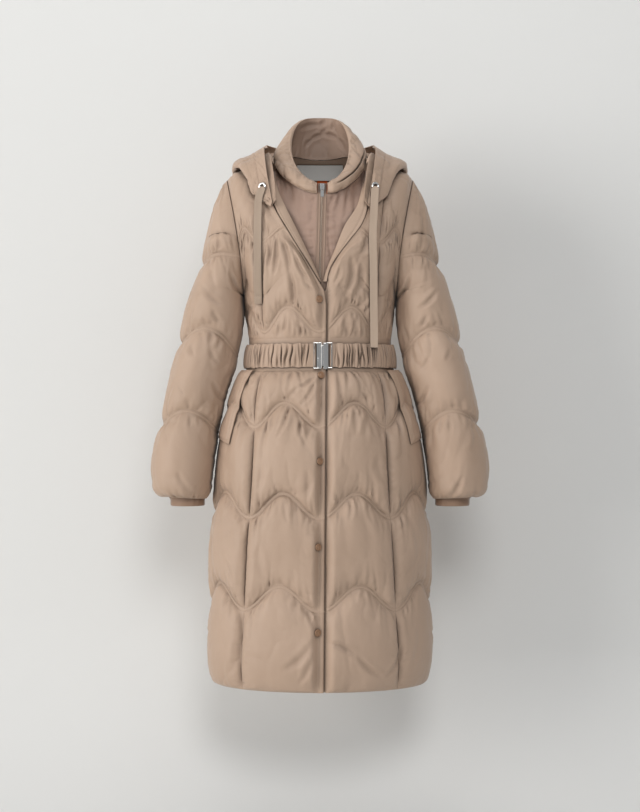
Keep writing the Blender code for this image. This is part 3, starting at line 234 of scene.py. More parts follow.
# Hood, lying behind: paths along its neck seam, its fold and its face edge, from the front
# end of each to centre back. "across" is u at the front and counts on over the shoulder;
# "over" is v past the shoulder seam, negative at the front. Lift is height off the body cloth.
HOOD = table(
    "along neck_u neck_over fold_u fold_over face_u face_over face_lift depth lift",
    (0.00, 0.64, -0.80, 0.72, -0.82, 0.69, -0.80, 0.010, 0.004, 0.0115),
    (0.15, 0.64, -0.62, 1.06, -0.60, 0.71, -0.58, 0.018, 0.008, 0.0120),
    (0.30, 0.66, -0.32, 1.46, -0.33, 0.70, -0.30, 0.026, 0.012, 0.0135),
    (0.42, 0.69, 0.00, 1.76, -0.06, 0.68, 0.00, 0.030, 0.014, 0.0150),
    (0.60, 0.64, 0.16, 1.66, 0.55, 0.62, 0.24, 0.036, 0.028, 0.0190),
    (0.80, 0.36, 0.34, 1.10, 1.08, 0.38, 0.44, 0.042, 0.044, 0.0205),
    (1.00, 0.00, 0.38, 0.00, 1.26, 0.00, 0.48, 0.044, 0.050, 0.0210),
    (1.20, -0.36, 0.34, -1.10, 1.08, -0.38, 0.44, 0.042, 0.044, 0.0205),
)
HOOD_WALL = 0.0010          # half thickness of its cloth
HOOD_SEAT = 0.0027          # its neck seam lies this far above the cloth below
HOOD_TUCK = 0.135           # farther from the middle than this, the hood is drawn in a little
HOOD_TUCK_RISE = 0.40       # and raised by this share of that
HOOD_SECTION = table(
    "reach rise",
    (0.00, 0.00),
    (0.07, 0.00),
    (0.35, 0.00),
    (0.70, 0.00),
    (0.92, 0.06),
    (1.00, 0.32),
    (0.99, 0.62),
    (0.90, 0.88),
    (0.70, 1.00),
    (0.40, 1.00),
    (0.16, 1.00),
    (0.00, 1.00),
)

HOOD_SECTIONS = len(HOOD_SECTION["reach"])

# Buckle: foot and head of its two fastened halves, and the y of its back.
BUCKLE_FOOT, BUCKLE_HEAD = -0.4405, -0.3860
BUCKLE_BACK = -0.1167          # y of its back, just ahead of the belt
WAIST_HALF_WIDTH = 0.158
WAIST_PRINCESS = 49.0          # degrees from centre front to the princess seam at the waist
# Snaps down the top front.
SNAPS = table(
    "x z",
    (-0.0020, -0.300),
    (0.0010, -0.4545),
    (-0.0020, -0.628),
    (-0.0050, -0.800),
    (-0.0061, -0.972),
)
# Corner lines of a pocket welt, as angles from centre front.
WELT = table(
    "z inner outer",
    (-0.597, 60.0, 79.0),
    (-0.520, 59.0, 79.5),
    (-0.446, 58.0, 80.0),
)
WELT_SLOPE = 0.012             # its outer corner lies this far above its inner one
EYELETS = {"left": 0.1122, "right": -0.1173}   # x of each
EYELET_Z = -0.0697
# Label under the neck seam on the back's inside, and the small tab that hangs under it.
LABEL_HALF_WIDTH, LABEL_FOOT, LABEL_HEAD = 0.049, -0.032, -0.002
TAB_LEFT, TAB_RIGHT, TAB_FOOT, TAB_HEAD = 0.016, -0.006, -0.066, -0.030
LABEL_GAP, LABEL_WALL = 0.0008, 0.0010
BODY_MIDDLE_Y = -0.03          # a place well inside the coat, between its front and its back


def smooth_step(low, high, value):
    part = np.clip((np.asarray(value, float) - low) / (high - low), 0.0, 1.0)
    return part * part * (3.0 - 2.0 * part)


def read(columns, key, name, value):
    """One column of a table on a smooth curve through its rows, at a value of the key column."""
    xs, ys = columns[key], columns[name]
    slopes = np.gradient(ys, xs)
    value = np.clip(value, xs[0], xs[-1])
    i = np.clip(np.searchsorted(xs, value, side="right") - 1, 0, len(xs) - 2)
    step = xs[i + 1] - xs[i]
    t = (value - xs[i]) / step
    start = (1 + 2 * t) * (1 - t) ** 2 * ys[i] + t * (1 - t) ** 2 * step * slopes[i]
    end = t * t * (3 - 2 * t) * ys[i + 1] + t * t * (t - 1) * step * slopes[i + 1]
    return start + end


def mix(a, b, part):
    return a + (b - a) * part


# ---------------------------------------------------------------- the body surface
def armhole(turn):
    """Point of the left armhole, turn 0 at the shoulder and a quarter turn at the front."""
    x = ARM_X + ARM_LEAN * np.cos(turn) - ARM_SCOOP * np.sin(turn) ** 2
    return x, -ARM_DEPTH * np.sin(turn), ARM_Z + ARM_HEIGHT * np.cos(turn)


def armhole_turn(v):
    """How far round the armhole row v meets it."""
    low = mix(math.pi, LAST_ROW_TURN, (v - UNDERARM) / (LAST_ROW - UNDERARM))
    high = LAST_ROW_TURN * (SHOULDER - v)
    return np.where(v < LAST_ROW, np.minimum(low, math.pi), high)


def wave(u):
    return 0.5 - 0.5 * np.cos(2.0 * math.pi * u)


def row_height(u, v):
    """Height of row v of the body cloth, up to the last quilting row."""
    low = np.clip(np.floor(v), 0, LAST_ROW - 1).astype(int)
    foot = LEVEL["low"][low] + LEVEL["wave"][low] * wave(u)
    head = LEVEL["low"][low + 1] + LEVEL["wave"][low + 1] * wave(u)
    return mix(foot, head, v - low)


def body(u, v):
    """Base surface of the body cloth, as an array of points."""
    u, v = np.broadcast_arrays(np.asarray(u, float), np.asarray(v, float))
    u = (u + 4.0) % 8.0 - 4.0
    front = np.abs(u) <= 2.0
    around = np.where(front, np.abs(u), 4.0 - np.abs(u))
    facing = np.where(front, -1.0, 1.0)
    side = np.where(u < 0.0, -1.0, 1.0)
    z = row_height(u, np.minimum(v, LAST_ROW))
    princess = np.where(front, np.radians(read(PRINCESS, "z", "angle", z)), math.pi / 4)
    outer_part = princess + (math.pi / 2 - princess) * (around - 1.0)
    turn = np.where(around < 1.0, princess * around, outer_part)
    sine, cosine = np.sin(turn), np.cos(turn)
    x = read(BODY, "z", "half_width", z) * sine
    y = facing * read(BODY, "z", "half_depth", z) * cosine
    if not (v > CHEST_ROW).any():
        return np.stack([side * x, y, z], axis=-1)
    # Above the chest row, each row runs from a centre line to the armhole.
    rise = np.clip(SHOULDER - v, 0.0, 1.0) * math.pi / 2
    last_low = LEVEL["low"][LAST_ROW]
    centre_z = np.where(
        v <= LAST_ROW,
        mix(LEVEL["low"][CHEST_ROW], last_low, np.clip(v - CHEST_ROW, 0, 1)),
        NECK_TOP - (NECK_TOP - last_low) * (1.0 - np.cos(rise)),
    )
    centre_y = facing * read(BODY, "z", "half_depth", np.minimum(centre_z, last_low))
    centre_y = np.where(v > LAST_ROW, centre_y * np.sin(rise), centre_y)
    seam_z = mix(LEVEL["low"][CHEST_ROW], ARM_Z - ARM_HEIGHT, (v - CHEST_ROW) / (UNDERARM - CHEST_ROW))
    arm_x, arm_y, arm_z = armhole(armhole_turn(v))
    below = v < UNDERARM
    edge_x = np.where(below, read(BODY, "z", "half_width", seam_z), arm_x)
    edge_y = np.where(below, 0.0, -facing * arm_y)
    edge_z = np.where(below, seam_z, arm_z)
    upper = smooth_step(UNDERARM, LAST_ROW, v)
    bend = mix(1.0 - cosine, sine**2.2, upper)
    slope = sine ** (2.0 - np.clip(v - LAST_ROW, 0, 1))
    height = LEVEL["wave"][LAST_ROW] * np.clip(SHOULDER - v, 0, 1)
    height = np.where(v < LAST_ROW, mix(LEVEL["wave"][CHEST_ROW], height, np.clip(v - 6, 0, 1)), height)
    high = (edge_x * sine, mix(centre_y, edge_y, bend), mix(centre_z, edge_z, slope) + height * wave(u))
    blend = smooth_step(CHEST_ROW, UNDERARM, v)
    x, y, z = mix(x, high[0], blend), mix(y, high[1], blend), mix(z, high[2], blend)
    return np.stack([side * x, y, z], axis=-1)


def body_normal(u, v):
    """Outward unit normal of the body surface."""
    u, v = np.broadcast_arrays(np.asarray(u, float), np.asarray(v, float))
    step_u, step_v = 0.02, 0.04
    low_v, high_v = np.maximum(v - step_v, 0.0), np.minimum(v + step_v, SHOULDER)
    # Differences stay on their own side of the side seam above the underarm.
    lean = np.where((v > UNDERARM) & (np.abs(np.abs(u) - 2.0) < step_u), step_u, 0.0)
    centre = np.where(np.abs(u) <= 2.0, np.abs(u) - lean, np.abs(u) + lean) * np.sign(u + 1e-12)
    across = body(centre + step_u, v) - body(centre - step_u, v)
    along = body(centre, high_v) - body(centre, low_v)
    normal = np.cross(across, along)
    # Front and back meet at these seams, with one normal for both.
    side_seam = (np.abs(np.abs(u) - 2.0) < 0.01) & (v <= UNDERARM)
    normal[..., 1] = np.where(side_seam | (v > SHOULDER - 0.01), 0.0, normal[..., 1])
    return normal / np.linalg.norm(normal, axis=-1, keepdims=True)


def round_top(t, power=0.6):
    return np.sin(math.pi * np.clip(t, 0.0, 1.0)) ** power


def grid_normals(points, closed=False):
    """Unit normals of a grid of points."""
    along = np.gradient(points, axis=0)
    if closed:
        across = np.roll(points, -1, axis=1) - np.roll(points, 1, axis=1)
    else:
        across = np.gradient(points, axis=1)
    normal = np.cross(across, along)
    return normal / np.linalg.norm(normal, axis=-1, keepdims=True)


def surface_of(*objects):
    """Search tree of the faces of some objects."""
    points, faces = [], []
    for item in objects:
        start = len(points)
        points += [tuple(item.matrix_world @ vertex.co) for vertex in item.data.vertices]
        faces += [tuple(start + k for k in face.vertices) for face in item.data.polygons]
    return BVHTree.FromPolygons(points, faces)


def seated(points, normals, carrier, lift, spread=0.0):
    """Each point moved along its normal to lie `lift` outside the carrier, whose highest
    place within `spread` of the point counts."""
    found = np.array(points, float)
    reach = 0.06
    for index in np.ndindex(found.shape[:-1]):
        normal = Vector(normals[index])
        aside = normal.orthogonal().normalized()
        away = normal.cross(aside)
        start = Vector(found[index]) + normal * reach
        nearest = 2.0 * reach
        for k in range(9 if spread else 1):
            offset = Vector((0.0, 0.0, 0.0))
            if k:
                turn = math.pi * k / 4
                offset = (aside * math.cos(turn) + away * math.sin(turn)) * spread
            distance = carrier.ray_cast(start + offset, -normal, 2.0 * reach)[3]
            if distance is not None:
                nearest = min(nearest, distance)
        if nearest < 2.0 * reach:
            found[index] = start + normal * (lift - nearest)
    return found


def mirrored(points):
    return points * np.array([-1.0, 1.0, 1.0])


def u_step(u, v, distance):
    """Change of u that moves a point this far across the panel."""
    span = np.linalg.norm(body(u + 0.01, v) - body(u - 0.01, v), axis=-1) / 0.02
    return distance / np.maximum(span, 1e-4)


def back_neck(u):
    """v of the back neckline, which runs just outside the collar's base seam."""
    half_width, middle, half_depth = COLLAR_BASE[:3]
    low, high = np.full(u.shape, LAST_ROW + 0.3), np.full(u.shape, float(SHOULDER))
    for _ in range(24):
        v = (low + high) / 2
        point = body(u, v)
        across = point[..., 0] / (half_width + NECK_MARGIN)
        behind = (point[..., 1] - middle) / (half_depth + NECK_MARGIN)
        outside = across**2 + behind**2 > 1.0
        low, high = np.where(outside, v, low), np.where(outside, high, v)
    return (low + high) / 2


def v_edge(v, name):
    """u at which row v of a front meets the V neck."""
    u = -0.3 if name == "right" else 0.3
    for _ in range(60):
        point = body(u, v)
        u += (read(V_NECK, "z", name, point[2]) - point[0]) * 3.0
    return float(u)


def edge_u(v, offset):
    """u of a line this far towards the wearer's left of the top front's edge."""
    u = 0.08
    for _ in range(30):
        point = body(u, v)
        aim = read(TOP_EDGE, "z", "x", point[2]) + offset
        u += (aim - point[0]) * 5.0
    return float(u)


# ---------------------------------------------------------------- sleeves
def sleeve(across, row):
    """Base surface of the left sleeve: across runs from -1 at the back of its underarm seam
    to 1 at the front of it, row from the hem to the top of the cap."""
    across, row = np.broadcast_arrays(np.asarray(across, float), np.asarray(row, float))
    outer_x = read(SLEEVE_OUTER, "row", "x", row)
    outer_z = read(SLEEVE_OUTER, "row", "z", row)
    depth = read(SLEEVE_OUTER, "row", "half_depth", row)
    middle = read(SLEEVE_OUTER, "row", "middle_y", row)
    past = (row - SLEEVE_UNDERARM) / (SLEEVE_LAST_ROW - SLEEVE_UNDERARM)
    low_turn = mix(math.pi, SLEEVE_LAST_TURN, np.clip(past, 0.0, 1.0))
    turn = np.where(row > SLEEVE_LAST_ROW, SLEEVE_LAST_TURN * (4.06 - row) / 1.06, low_turn)
    arm_x, arm_y, arm_z = armhole(turn)
    tube = row < SLEEVE_UNDERARM
    underarm_extra = 0.0022 * smooth_step(math.radians(120), math.pi, turn)
    end_x = np.where(tube, read(SLEEVE_INNER, "row", "x", row), arm_x + ARM_SEAM + underarm_extra)
    end_z = np.where(tube, read(SLEEVE_INNER, "row", "z", row), arm_z)
    half_turn = np.arcsin(np.clip(-arm_y / depth, 0.0, 1.0))
    spread = np.where(turn > math.pi / 2, math.pi - half_turn, half_turn)
    spread = np.where(tube, math.pi, spread)
    bulge = (outer_x - end_x) / (1.0 - np.cos(spread))
    x = outer_x - bulge * (1.0 - np.cos(spread * across))
    y = middle - depth * np.sin(spread * across)
    share = 0.5 - 0.5 * np.cos(math.pi * across)
    height = np.interp(row, range(5), SLEEVE_WAVES) * np.sin(math.pi * across) ** 2
    return np.stack([x, y, mix(outer_z, end_z, share) + height], axis=-1)


def sleeve_normal(across, row):
    step, low, high = 0.01, np.maximum(row - 0.03, 0.0), np.minimum(row + 0.03, 4.0)
    aside = sleeve(across + step, row) - sleeve(across - step, row)
    along = sleeve(across, high) - sleeve(across, low)
    normal = np.cross(along, aside)
    return normal / np.linalg.norm(normal, axis=-1, keepdims=True)


# ---------------------------------------------------------------- collar, bib and zip
def ring_point(sizes, rise, turn):
    """Point of the collar's base seam or top edge; turn is 0 at centre front."""
    half_width, middle, half_depth = sizes
    shift = COLLAR_SHIFT * (0.5 + 0.5 * np.cos(turn)) ** 4
    x = half_width * np.sin(turn) + shift
    z = read(COLLAR_RISE, "turn", rise, np.degrees(np.arccos(np.cos(turn))))
    return np.stack([x, middle - half_depth * np.cos(turn), z], axis=-1)


def collar(turn, height):
    base, top = ring_point(COLLAR_BASE, "base", turn), ring_point(COLLAR_TOP, "top", turn)
    point = mix(base, top, height[..., None])
    out = np.stack([np.sin(turn), -np.cos(turn), 0.0 * turn], axis=-1)
    return point + out * (0.006 * np.sin(math.pi * height))[..., None]


def collar_normal(turn, height):
    across = collar(turn + 0.02, height) - collar(turn - 0.02, height)
    along = collar(turn, height + 0.02) - collar(turn, height - 0.02)
    normal = np.cross(across, along)
    return normal / np.linalg.norm(normal, axis=-1, keepdims=True)


def front_at(x, z):
    """Point and normal of the body surface's front at this x and z, found by steps toward them."""
    x, z = np.broadcast_arrays(np.asarray(x, float), np.asarray(z, float))
    u, v = 8.0 * x, np.interp(z, LEVEL["low"], np.arange(len(LEVEL["low"])))
    chest = float(LEVEL["low"][LAST_ROW])
    v = np.where(z > chest, LAST_ROW + 4.0 * (z - chest), v)
    for _ in range(80):
        point = body(u, v)
        u = np.clip(u + 4.0 * (x - point[..., 0]), -2.0, 2.0)
        v = np.clip(v + 1.6 * (z - point[..., 2]), 0.0, SHOULDER - 0.05)
    return body(u, v), body_normal(u, v)


def zip_x(z):
    return COLLAR_SHIFT + 0.006 * (z - ZIP_HEAD) / (ZIP_HEAD - ZIP_FOOT)


def bib_y(x, z):
    """y of the bib, which joins the collar's base at its top."""
    depth = mix(BIB_POINT_DEPTH, BIB_DEPTH, smooth_step(-0.285, -0.200, z))
    behind = front_at(x, z)[0][..., 1] + depth
    turns = np.linspace(0.0, math.pi / 2, 91)
    ring = ring_point(COLLAR_BASE, "base", turns)
    collar_y = np.interp(np.abs(x - COLLAR_SHIFT), ring[:, 0] - COLLAR_SHIFT, ring[:, 1])
    collar_z = np.interp(np.abs(x - COLLAR_SHIFT), ring[:, 0] - COLLAR_SHIFT, ring[:, 2])
    near = smooth_step(-0.07, 0.0, z - collar_z)
    return mix(behind, collar_y, near), collar_z


# ---------------------------------------------------------------- hood
def over_shoulder(u, over):
    """Body point and normal where `over` runs on past the shoulder seam to the back."""
    front = over < 0.0
    real_u = np.where(front, u, 4.0 - u)
    v = SHOULDER - np.abs(over)
    point, normal = body(real_u, v), body_normal(real_u, v)
    return point, normal


def hood_point(along, section):
    """Point of the hood's base surface: along from its front end to centre back."""
    rows = np.arange(HOOD_SECTIONS)
    reach = np.interp(section, rows, HOOD_SECTION["reach"])
    rise = np.interp(section, rows, HOOD_SECTION["rise"])
    upper = smooth_step(5.0, HOOD_SECTIONS - 1.0, section)
    start_u = mix(read(HOOD, "along", "neck_u", along), read(HOOD, "along", "face_u", along), upper)
    start_over = mix(read(HOOD, "along", "neck_over", along), read(HOOD, "along", "face_over", along), upper)
    u = mix(start_u, read(HOOD, "along", "fold_u", along), reach)
    over = mix(start_over, read(HOOD, "along", "fold_over", along), reach)
    point, normal = over_shoulder(u, over)
    depth = read(HOOD, "along", "depth", along)
    lift = read(HOOD, "along", "lift", along) + rise * depth
    face = read(HOOD, "along", "face_lift", along)
    lift = mix(lift, np.maximum(face, lift), upper * (1.0 - reach))
    return point, normal, lift


def drawn_in(points):
    """The hood's left half with its outermost folds drawn in towards the neck."""
    past = np.maximum(points[..., 0] - HOOD_TUCK, 0.0)
    shift = 0.33 * past * (1.0 - np.exp(-past / 0.012))
    return points + np.stack([-shift, 0.0 * shift, HOOD_TUCK_RISE * shift], axis=-1)


def waist_u(x):
    """u of a point near the middle of the waist's front at this x."""
    return math.degrees(x / WAIST_HALF_WIDTH) / WAIST_PRINCESS


def v_at(u, z):
    v = np.interp(z, LEVEL["low"], np.arange(len(LEVEL["low"])))
    for _ in range(60):
        v = np.clip(v + (z - body(u, v)[..., 2]) * 3.0, 0.0, 7.9)
    return v


def u_at(turn, z):
    princess = read(PRINCESS, "z", "angle", z)
    return 1.0 + (turn - princess) / (90.0 - princess)


# Route of each drawstring from its eyelet down the front: place across and height.
DRAWSTRING_LEFT = table(
    "x z",
    (0.1122, -0.0705), (0.1115, -0.0800), (0.1102, -0.1050), (0.1090, -0.1310), (0.1076, -0.1560),
    (0.1070, -0.1780), (0.1077, -0.2010), (0.1084, -0.2240), (0.1088, -0.2500),
    (0.1091, -0.2760), (0.1095, -0.3020), (0.1100, -0.3330), (0.1106, -0.3640),
    (0.1110, -0.3968),
)
DRAWSTRING_RIGHT = table(
    "x z",
    (-0.1176, -0.0705), (-0.1205, -0.0800), (-0.1245, -0.0920), (-0.1262, -0.1050), (-0.1269, -0.1300),
    (-0.1273, -0.1550), (-0.1277, -0.1800), (-0.1277, -0.2050), (-0.1275, -0.2300),
    (-0.1274, -0.2550), (-0.1271, -0.2800), (-0.1266, -0.3070),
)


WEAVE_PITCH = 0.0007       # of the shell's threads


# ---------------------------------------------------------------- materials
def new_material(name, colour, roughness, metallic=0.0):
    made = bpy.data.materials.new(name)
    made.use_nodes = True
    shader = made.node_tree.nodes["Principled BSDF"]
    shader.inputs["Base Color"].default_value = (*colour, 1.0)
    shader.inputs["Roughness"].default_value = roughness
    shader.inputs["Metallic"].default_value = metallic
    return made, made.node_tree, shader


def add_node(tree, kind, **sockets):
    node = tree.nodes.new(kind)
    for name, value in sockets.items():
        node.inputs[name.replace("_", " ")].default_value = value
    return node


def object_place(tree, scale=(1.0, 1.0, 1.0)):
    """Object coordinates, stretched."""
    place = tree.nodes.new("ShaderNodeTexCoord")
    mapping = add_node(tree, "ShaderNodeMapping", Scale=scale)
    tree.links.new(place.outputs["Object"], mapping.inputs["Vector"])
    return mapping.outputs["Vector"]


def noise_texture(tree, vector, scale, detail=3.0, roughness=0.5):
    node = add_node(tree, "ShaderNodeTexNoise", Scale=scale, Detail=detail, Roughness=roughness)
    tree.links.new(vector, node.inputs["Vector"])
    return node.outputs["Fac"]


def mixed_colour(tree, factor, dark, light):
    ramp = tree.nodes.new("ShaderNodeValToRGB")
    ramp.color_ramp.elements[0].color = (*dark, 1.0)
    ramp.color_ramp.elements[1].color = (*light, 1.0)
    ramp.color_ramp.elements[0].position = 0.30
    ramp.color_ramp.elements[1].position = 0.70
    tree.links.new(factor, ramp.inputs["Fac"])
    return ramp.outputs["Color"]


def bumped(tree, shader, heights):
    """Chains bumps onto a shader; heights are (socket, strength, distance in metres)."""
    last = None
    for socket, strength, distance in heights:
        bump = add_node(tree, "ShaderNodeBump", Strength=strength, Distance=distance)
        tree.links.new(socket, bump.inputs["Height"])
        if last is not None:
            tree.links.new(last, bump.inputs["Normal"])
        last = bump.outputs["Normal"]
    tree.links.new(last, shader.inputs["Normal"])


def weave_height(tree, vector, pitch):
    """Threads crossing at this pitch, in all three directions of space."""
    total = None
    for axis in ("X", "Y", "Z"):
        wave = add_node(tree, "ShaderNodeTexWave", Scale=math.pi / pitch / 10.0, Distortion=0.6)
        wave.wave_type = "BANDS"
        wave.bands_direction = axis
        tree.links.new(vector, wave.inputs["Vector"])
        if total is None:
            total = wave.outputs["Fac"]
            continue
        add = tree.nodes.new("ShaderNodeMath")
        add.operation = "ADD"
        tree.links.new(total, add.inputs[0])
        tree.links.new(wave.outputs["Fac"], add.inputs[1])
        total = add.outputs[0]
    return total


PAINTED_SHADE_REACH = 0.014      # painted shade darkens the cloth's colour in folds and seams this narrow


def cloth(name, dark, light, roughness=0.50, sheen=0.12, pitch=WEAVE_PITCH):
    """Woven cloth: a soft gloss, thread texture, faint colour changes, small wrinkles and painted shade in
    its folds and seams.
    """
    made, tree, shader = new_material(name, light, roughness)
    place = object_place(tree)
    broad = noise_texture(tree, place, 9.0, 3.0)
    # Ambient occlusion darkens the base colour: painted shade in folds, seams and creases.
    painted_crease_shade = add_node(tree, "ShaderNodeAmbientOcclusion", Distance=PAINTED_SHADE_REACH)
    painted_crease_shade.samples = 6
    tree.links.new(mixed_colour(tree, broad, dark, light), painted_crease_shade.inputs["Color"])
    tree.links.new(painted_crease_shade.outputs["Color"], shader.inputs["Base Color"])
    shader.inputs["Sheen Weight"].default_value = sheen
    shader.inputs["Sheen Roughness"].default_value = 0.4
    shader.inputs["Specular IOR Level"].default_value = 0.38
    wrinkles = noise_texture(tree, object_place(tree, (1.0, 1.0, 0.6)), 60.0, 3.0, 0.5)
    threads = weave_height(tree, place, pitch)
    bumped(tree, shader, [(wrinkles, 0.28, 0.0016), (threads, 0.25, 0.00012)])
    return made


def metal(name, colour, roughness):
    made, tree, shader = new_material(name, colour, roughness, 1.0)
    scratch = noise_texture(tree, object_place(tree, (1.0, 1.0, 12.0)), 260.0, 2.0)
    bumped(tree, shader, [(scratch, 0.05, 0.0001)])
    return made


def make_materials():
    return {
        "shell": cloth("Outer_cloth", (0.455, 0.322, 0.235), (0.500, 0.358, 0.266)),
        "bib": cloth("Bib_cloth", (0.372, 0.246, 0.188), (0.408, 0.272, 0.209)),
        "lining": cloth("Collar_lining", (0.330, 0.222, 0.164), (0.370, 0.252, 0.187)),
        "cuff": cloth("Cuff_cloth", (0.290, 0.184, 0.122), (0.325, 0.208, 0.141), 0.6, 0.3, 0.0012),
        "tape": cloth("Tape_cloth", (0.430, 0.325, 0.245), (0.475, 0.362, 0.277), 0.6, 0.2, 0.0011),
        "thread": new_material("Thread", (0.300, 0.200, 0.140), 0.55)[0],
        "label": cloth("Label_cloth", (0.88, 0.87, 0.83), (0.92, 0.91, 0.87), 0.6, 0.2, 0.0010),
        "tab": cloth("Tab_cloth", (0.78, 0.13, 0.02), (0.86, 0.17, 0.03), 0.6, 0.2, 0.0010),
        "zip": cloth("Zip_tape_cloth", (0.330, 0.225, 0.165), (0.370, 0.252, 0.187), 0.6, 0.2, 0.0009),
        "chrome": metal("Chrome", (0.86, 0.85, 0.83), 0.10),
        "teeth": metal("Zip_teeth", (0.42, 0.33, 0.26), 0.35),
        "snap": new_material("Snap_lacquer", (0.330, 0.190, 0.110), 0.33)[0],
        # Near-black paint for the eyelets' holes: painted shade on a flat disk, with no real opening.
        "dark": new_material("Painted_hole_shade", (0.060, 0.038, 0.026), 0.8)[0],
    }


# ---------------------------------------------------------------- relief of the cloth
def lattice(i, j, k, seed):
    """A fixed value from -1 to 1 for each corner of a lattice."""
    n = (i * 73856093) ^ (j * 19349663) ^ (k * 83492791) ^ (seed * 2654435761 % 2**31)
    n = (n ^ (n >> 13)) * 1274126177 & 0x7FFFFFFF
    n = (n ^ (n >> 16)) & 0xFFFF
    return n / 32767.5 - 1.0


def noise(points, size, seed=0):
    """Smooth noise from -1 to 1 at points in space; size is its grain in metres, one or three."""
    place = points / np.asarray(size) + 1000.0
    cell = np.floor(place).astype(np.int64)
    part = place - cell
    part = part * part * part * (part * (part * 6.0 - 15.0) + 10.0)
    total = 0.0
    for a, b, c in np.ndindex(2, 2, 2):
        weight = np.where(a, part[..., 0], 1.0 - part[..., 0])
        weight = weight * np.where(b, part[..., 1], 1.0 - part[..., 1])
        weight = weight * np.where(c, part[..., 2], 1.0 - part[..., 2])
        total = total + weight * lattice(cell[..., 0] + a, cell[..., 1] + b, cell[..., 2] + c, seed)
    return total


def valley(q):
    """A crease across: a narrow valley between two soft shoulders."""
    q = np.abs(q)
    return np.exp(-(q**1.6)) - 0.42 * np.exp(-(((q - 1.9) / 0.9) ** 2))


def gathers(along, away, spacing, reach, depth, width, seed):
    """Short creases that run away from a stitched line. along and away are metres."""
    chance = np.random.default_rng(seed)
    height = np.zeros(along.shape)
    place, last = along.min(), along.max()
    while place < last:
        place += spacing * chance.uniform(0.45, 1.6)
        lean = chance.uniform(-0.6, 0.6)
        long = reach * chance.uniform(0.35, 1.5)
        wide = width * chance.uniform(0.65, 1.4)
        deep = depth * chance.uniform(0.35, 1.25)
        near = (np.abs(along - place) < 6.0 * wide + long) & (away < 2.6 * long) & (away > 0.0)
        if not near.any():
            continue
        off, out = along[near] - place, away[near]
        spread = wide * (0.8 + out / 0.05)
        q = (off - lean * out * (1.0 - 0.25 * out / long)) / spread
        fade = (1.0 - np.exp(-out / 0.0022)) * np.exp(-((out / long) ** 1.6))
        height[near] -= deep * valley(q) * fade
    return height


def fold_lines(across, up, folds):
    """Soft folds, each a row of (across, up) of both ends, bend, width and depth, in metres."""
    height = np.zeros(across.shape)
    for x0, z0, x1, z1, bend, width, depth in folds:
        long = math.hypot(x1 - x0, z1 - z0)
        ax, az = (x1 - x0) / long, (z1 - z0) / long
        near = (across > min(x0, x1) - 0.03) & (across < max(x0, x1) + 0.03)
        near &= (up > min(z0, z1) - 0.02) & (up < max(z0, z1) + 0.02)
        dx, dz = across[near] - x0, up[near] - z0
        past = (dx * ax + dz * az) / long
        t = np.clip(past, 0.0, 1.0)
        side = -dx * az + dz * ax - bend * np.sin(math.pi * t)
        taper = np.sin(math.pi * t) ** 0.6
        height[near] -= depth * valley(side / (width * (0.5 + 0.5 * taper))) * taper
    return height


def crumple(points, strength=1.0, seed=0):
    """Soft dents and creases of down-filled cloth, longer upright than across."""
    warp = np.stack([noise(points, 0.08, seed + k) for k in range(3)], axis=-1) * 0.020
    bent = points + warp
    broad = noise(bent, (0.060, 0.060, 0.100), seed + 5)
    middle = 1.0 - np.abs(noise(bent, (0.034, 0.034, 0.066), seed + 6))
    fine = 1.0 - np.abs(noise(bent + warp, (0.015, 0.015, 0.028), seed + 7))
    return strength * (0.0017 * broad - 0.0030 * middle**3 - 0.0010 * fine**3 + 0.0012)


STITCH_HALF = 0.0033       # each of a quilting row's two stitched lines lies this far from it


def rise(away, reach=0.0105):
    """How fast the padding rises beside a stitched line, from 0 to 1."""
    return 1.0 - np.exp(-((np.maximum(away, 0.0) / reach) ** 0.9))


def ridge(away):
    """The narrow roll of cloth between a row's two stitched lines."""
    return 0.0011 * np.cos(np.clip(away / STITCH_HALF, 0.0, 1.0) * math.pi / 2) ** 0.8


def flat_top(t):
    """Height across a band of padding, from one stitched line at 0 to the next at 1."""
    return 0.7 + 0.3 * np.sqrt(np.sin(math.pi * np.clip(t, 0.0, 1.0)))


# ---------------------------------------------------------------- making objects
PIECES = bpy.data.collections.new("Puffer_coat_looks")
bpy.context.scene.collection.children.link(PIECES)
COARSE = 4                 # the plain inside of a wall keeps every fourth point of its outer grid


def add_mesh(name, points, faces, finish, node=None, body_name="coat", smooth=True):
    mesh = bpy.data.meshes.new(name)
    mesh.from_pydata(np.asarray(points).reshape(-1, 3).tolist(), [], faces)
    mesh.materials.append(finish)
    if smooth:
        mesh.shade_smooth()
        mesh.set_sharp_from_angle(angle=math.radians(55))
    made = bpy.data.objects.new(name, mesh)
    PIECES.objects.link(made)
    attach(made, body_name)
    if node:
        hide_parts(node)
    return made


def whole_cells(values):
    """The values resampled so that they make a whole number of coarse cells."""
    count = math.ceil((len(values) - 1) / COARSE) * COARSE + 1
    return np.interp(np.linspace(0.0, len(values) - 1.0, count), np.arange(len(values)), values)


def grid_faces(rows, columns, start=0, closed=False, flip=False):
    """Quads of a grid of points as an array."""
    i, j = np.meshgrid(np.arange(rows - 1), np.arange(columns if closed else columns - 1), indexing="ij")
    k = (j + 1) % columns
    quads = [i * columns + j, i * columns + k, (i + 1) * columns + k, (i + 1) * columns + j]
    quads = np.stack(quads, axis=-1).reshape(-1, 4) + start
    return quads[:, ::-1] if flip else quads


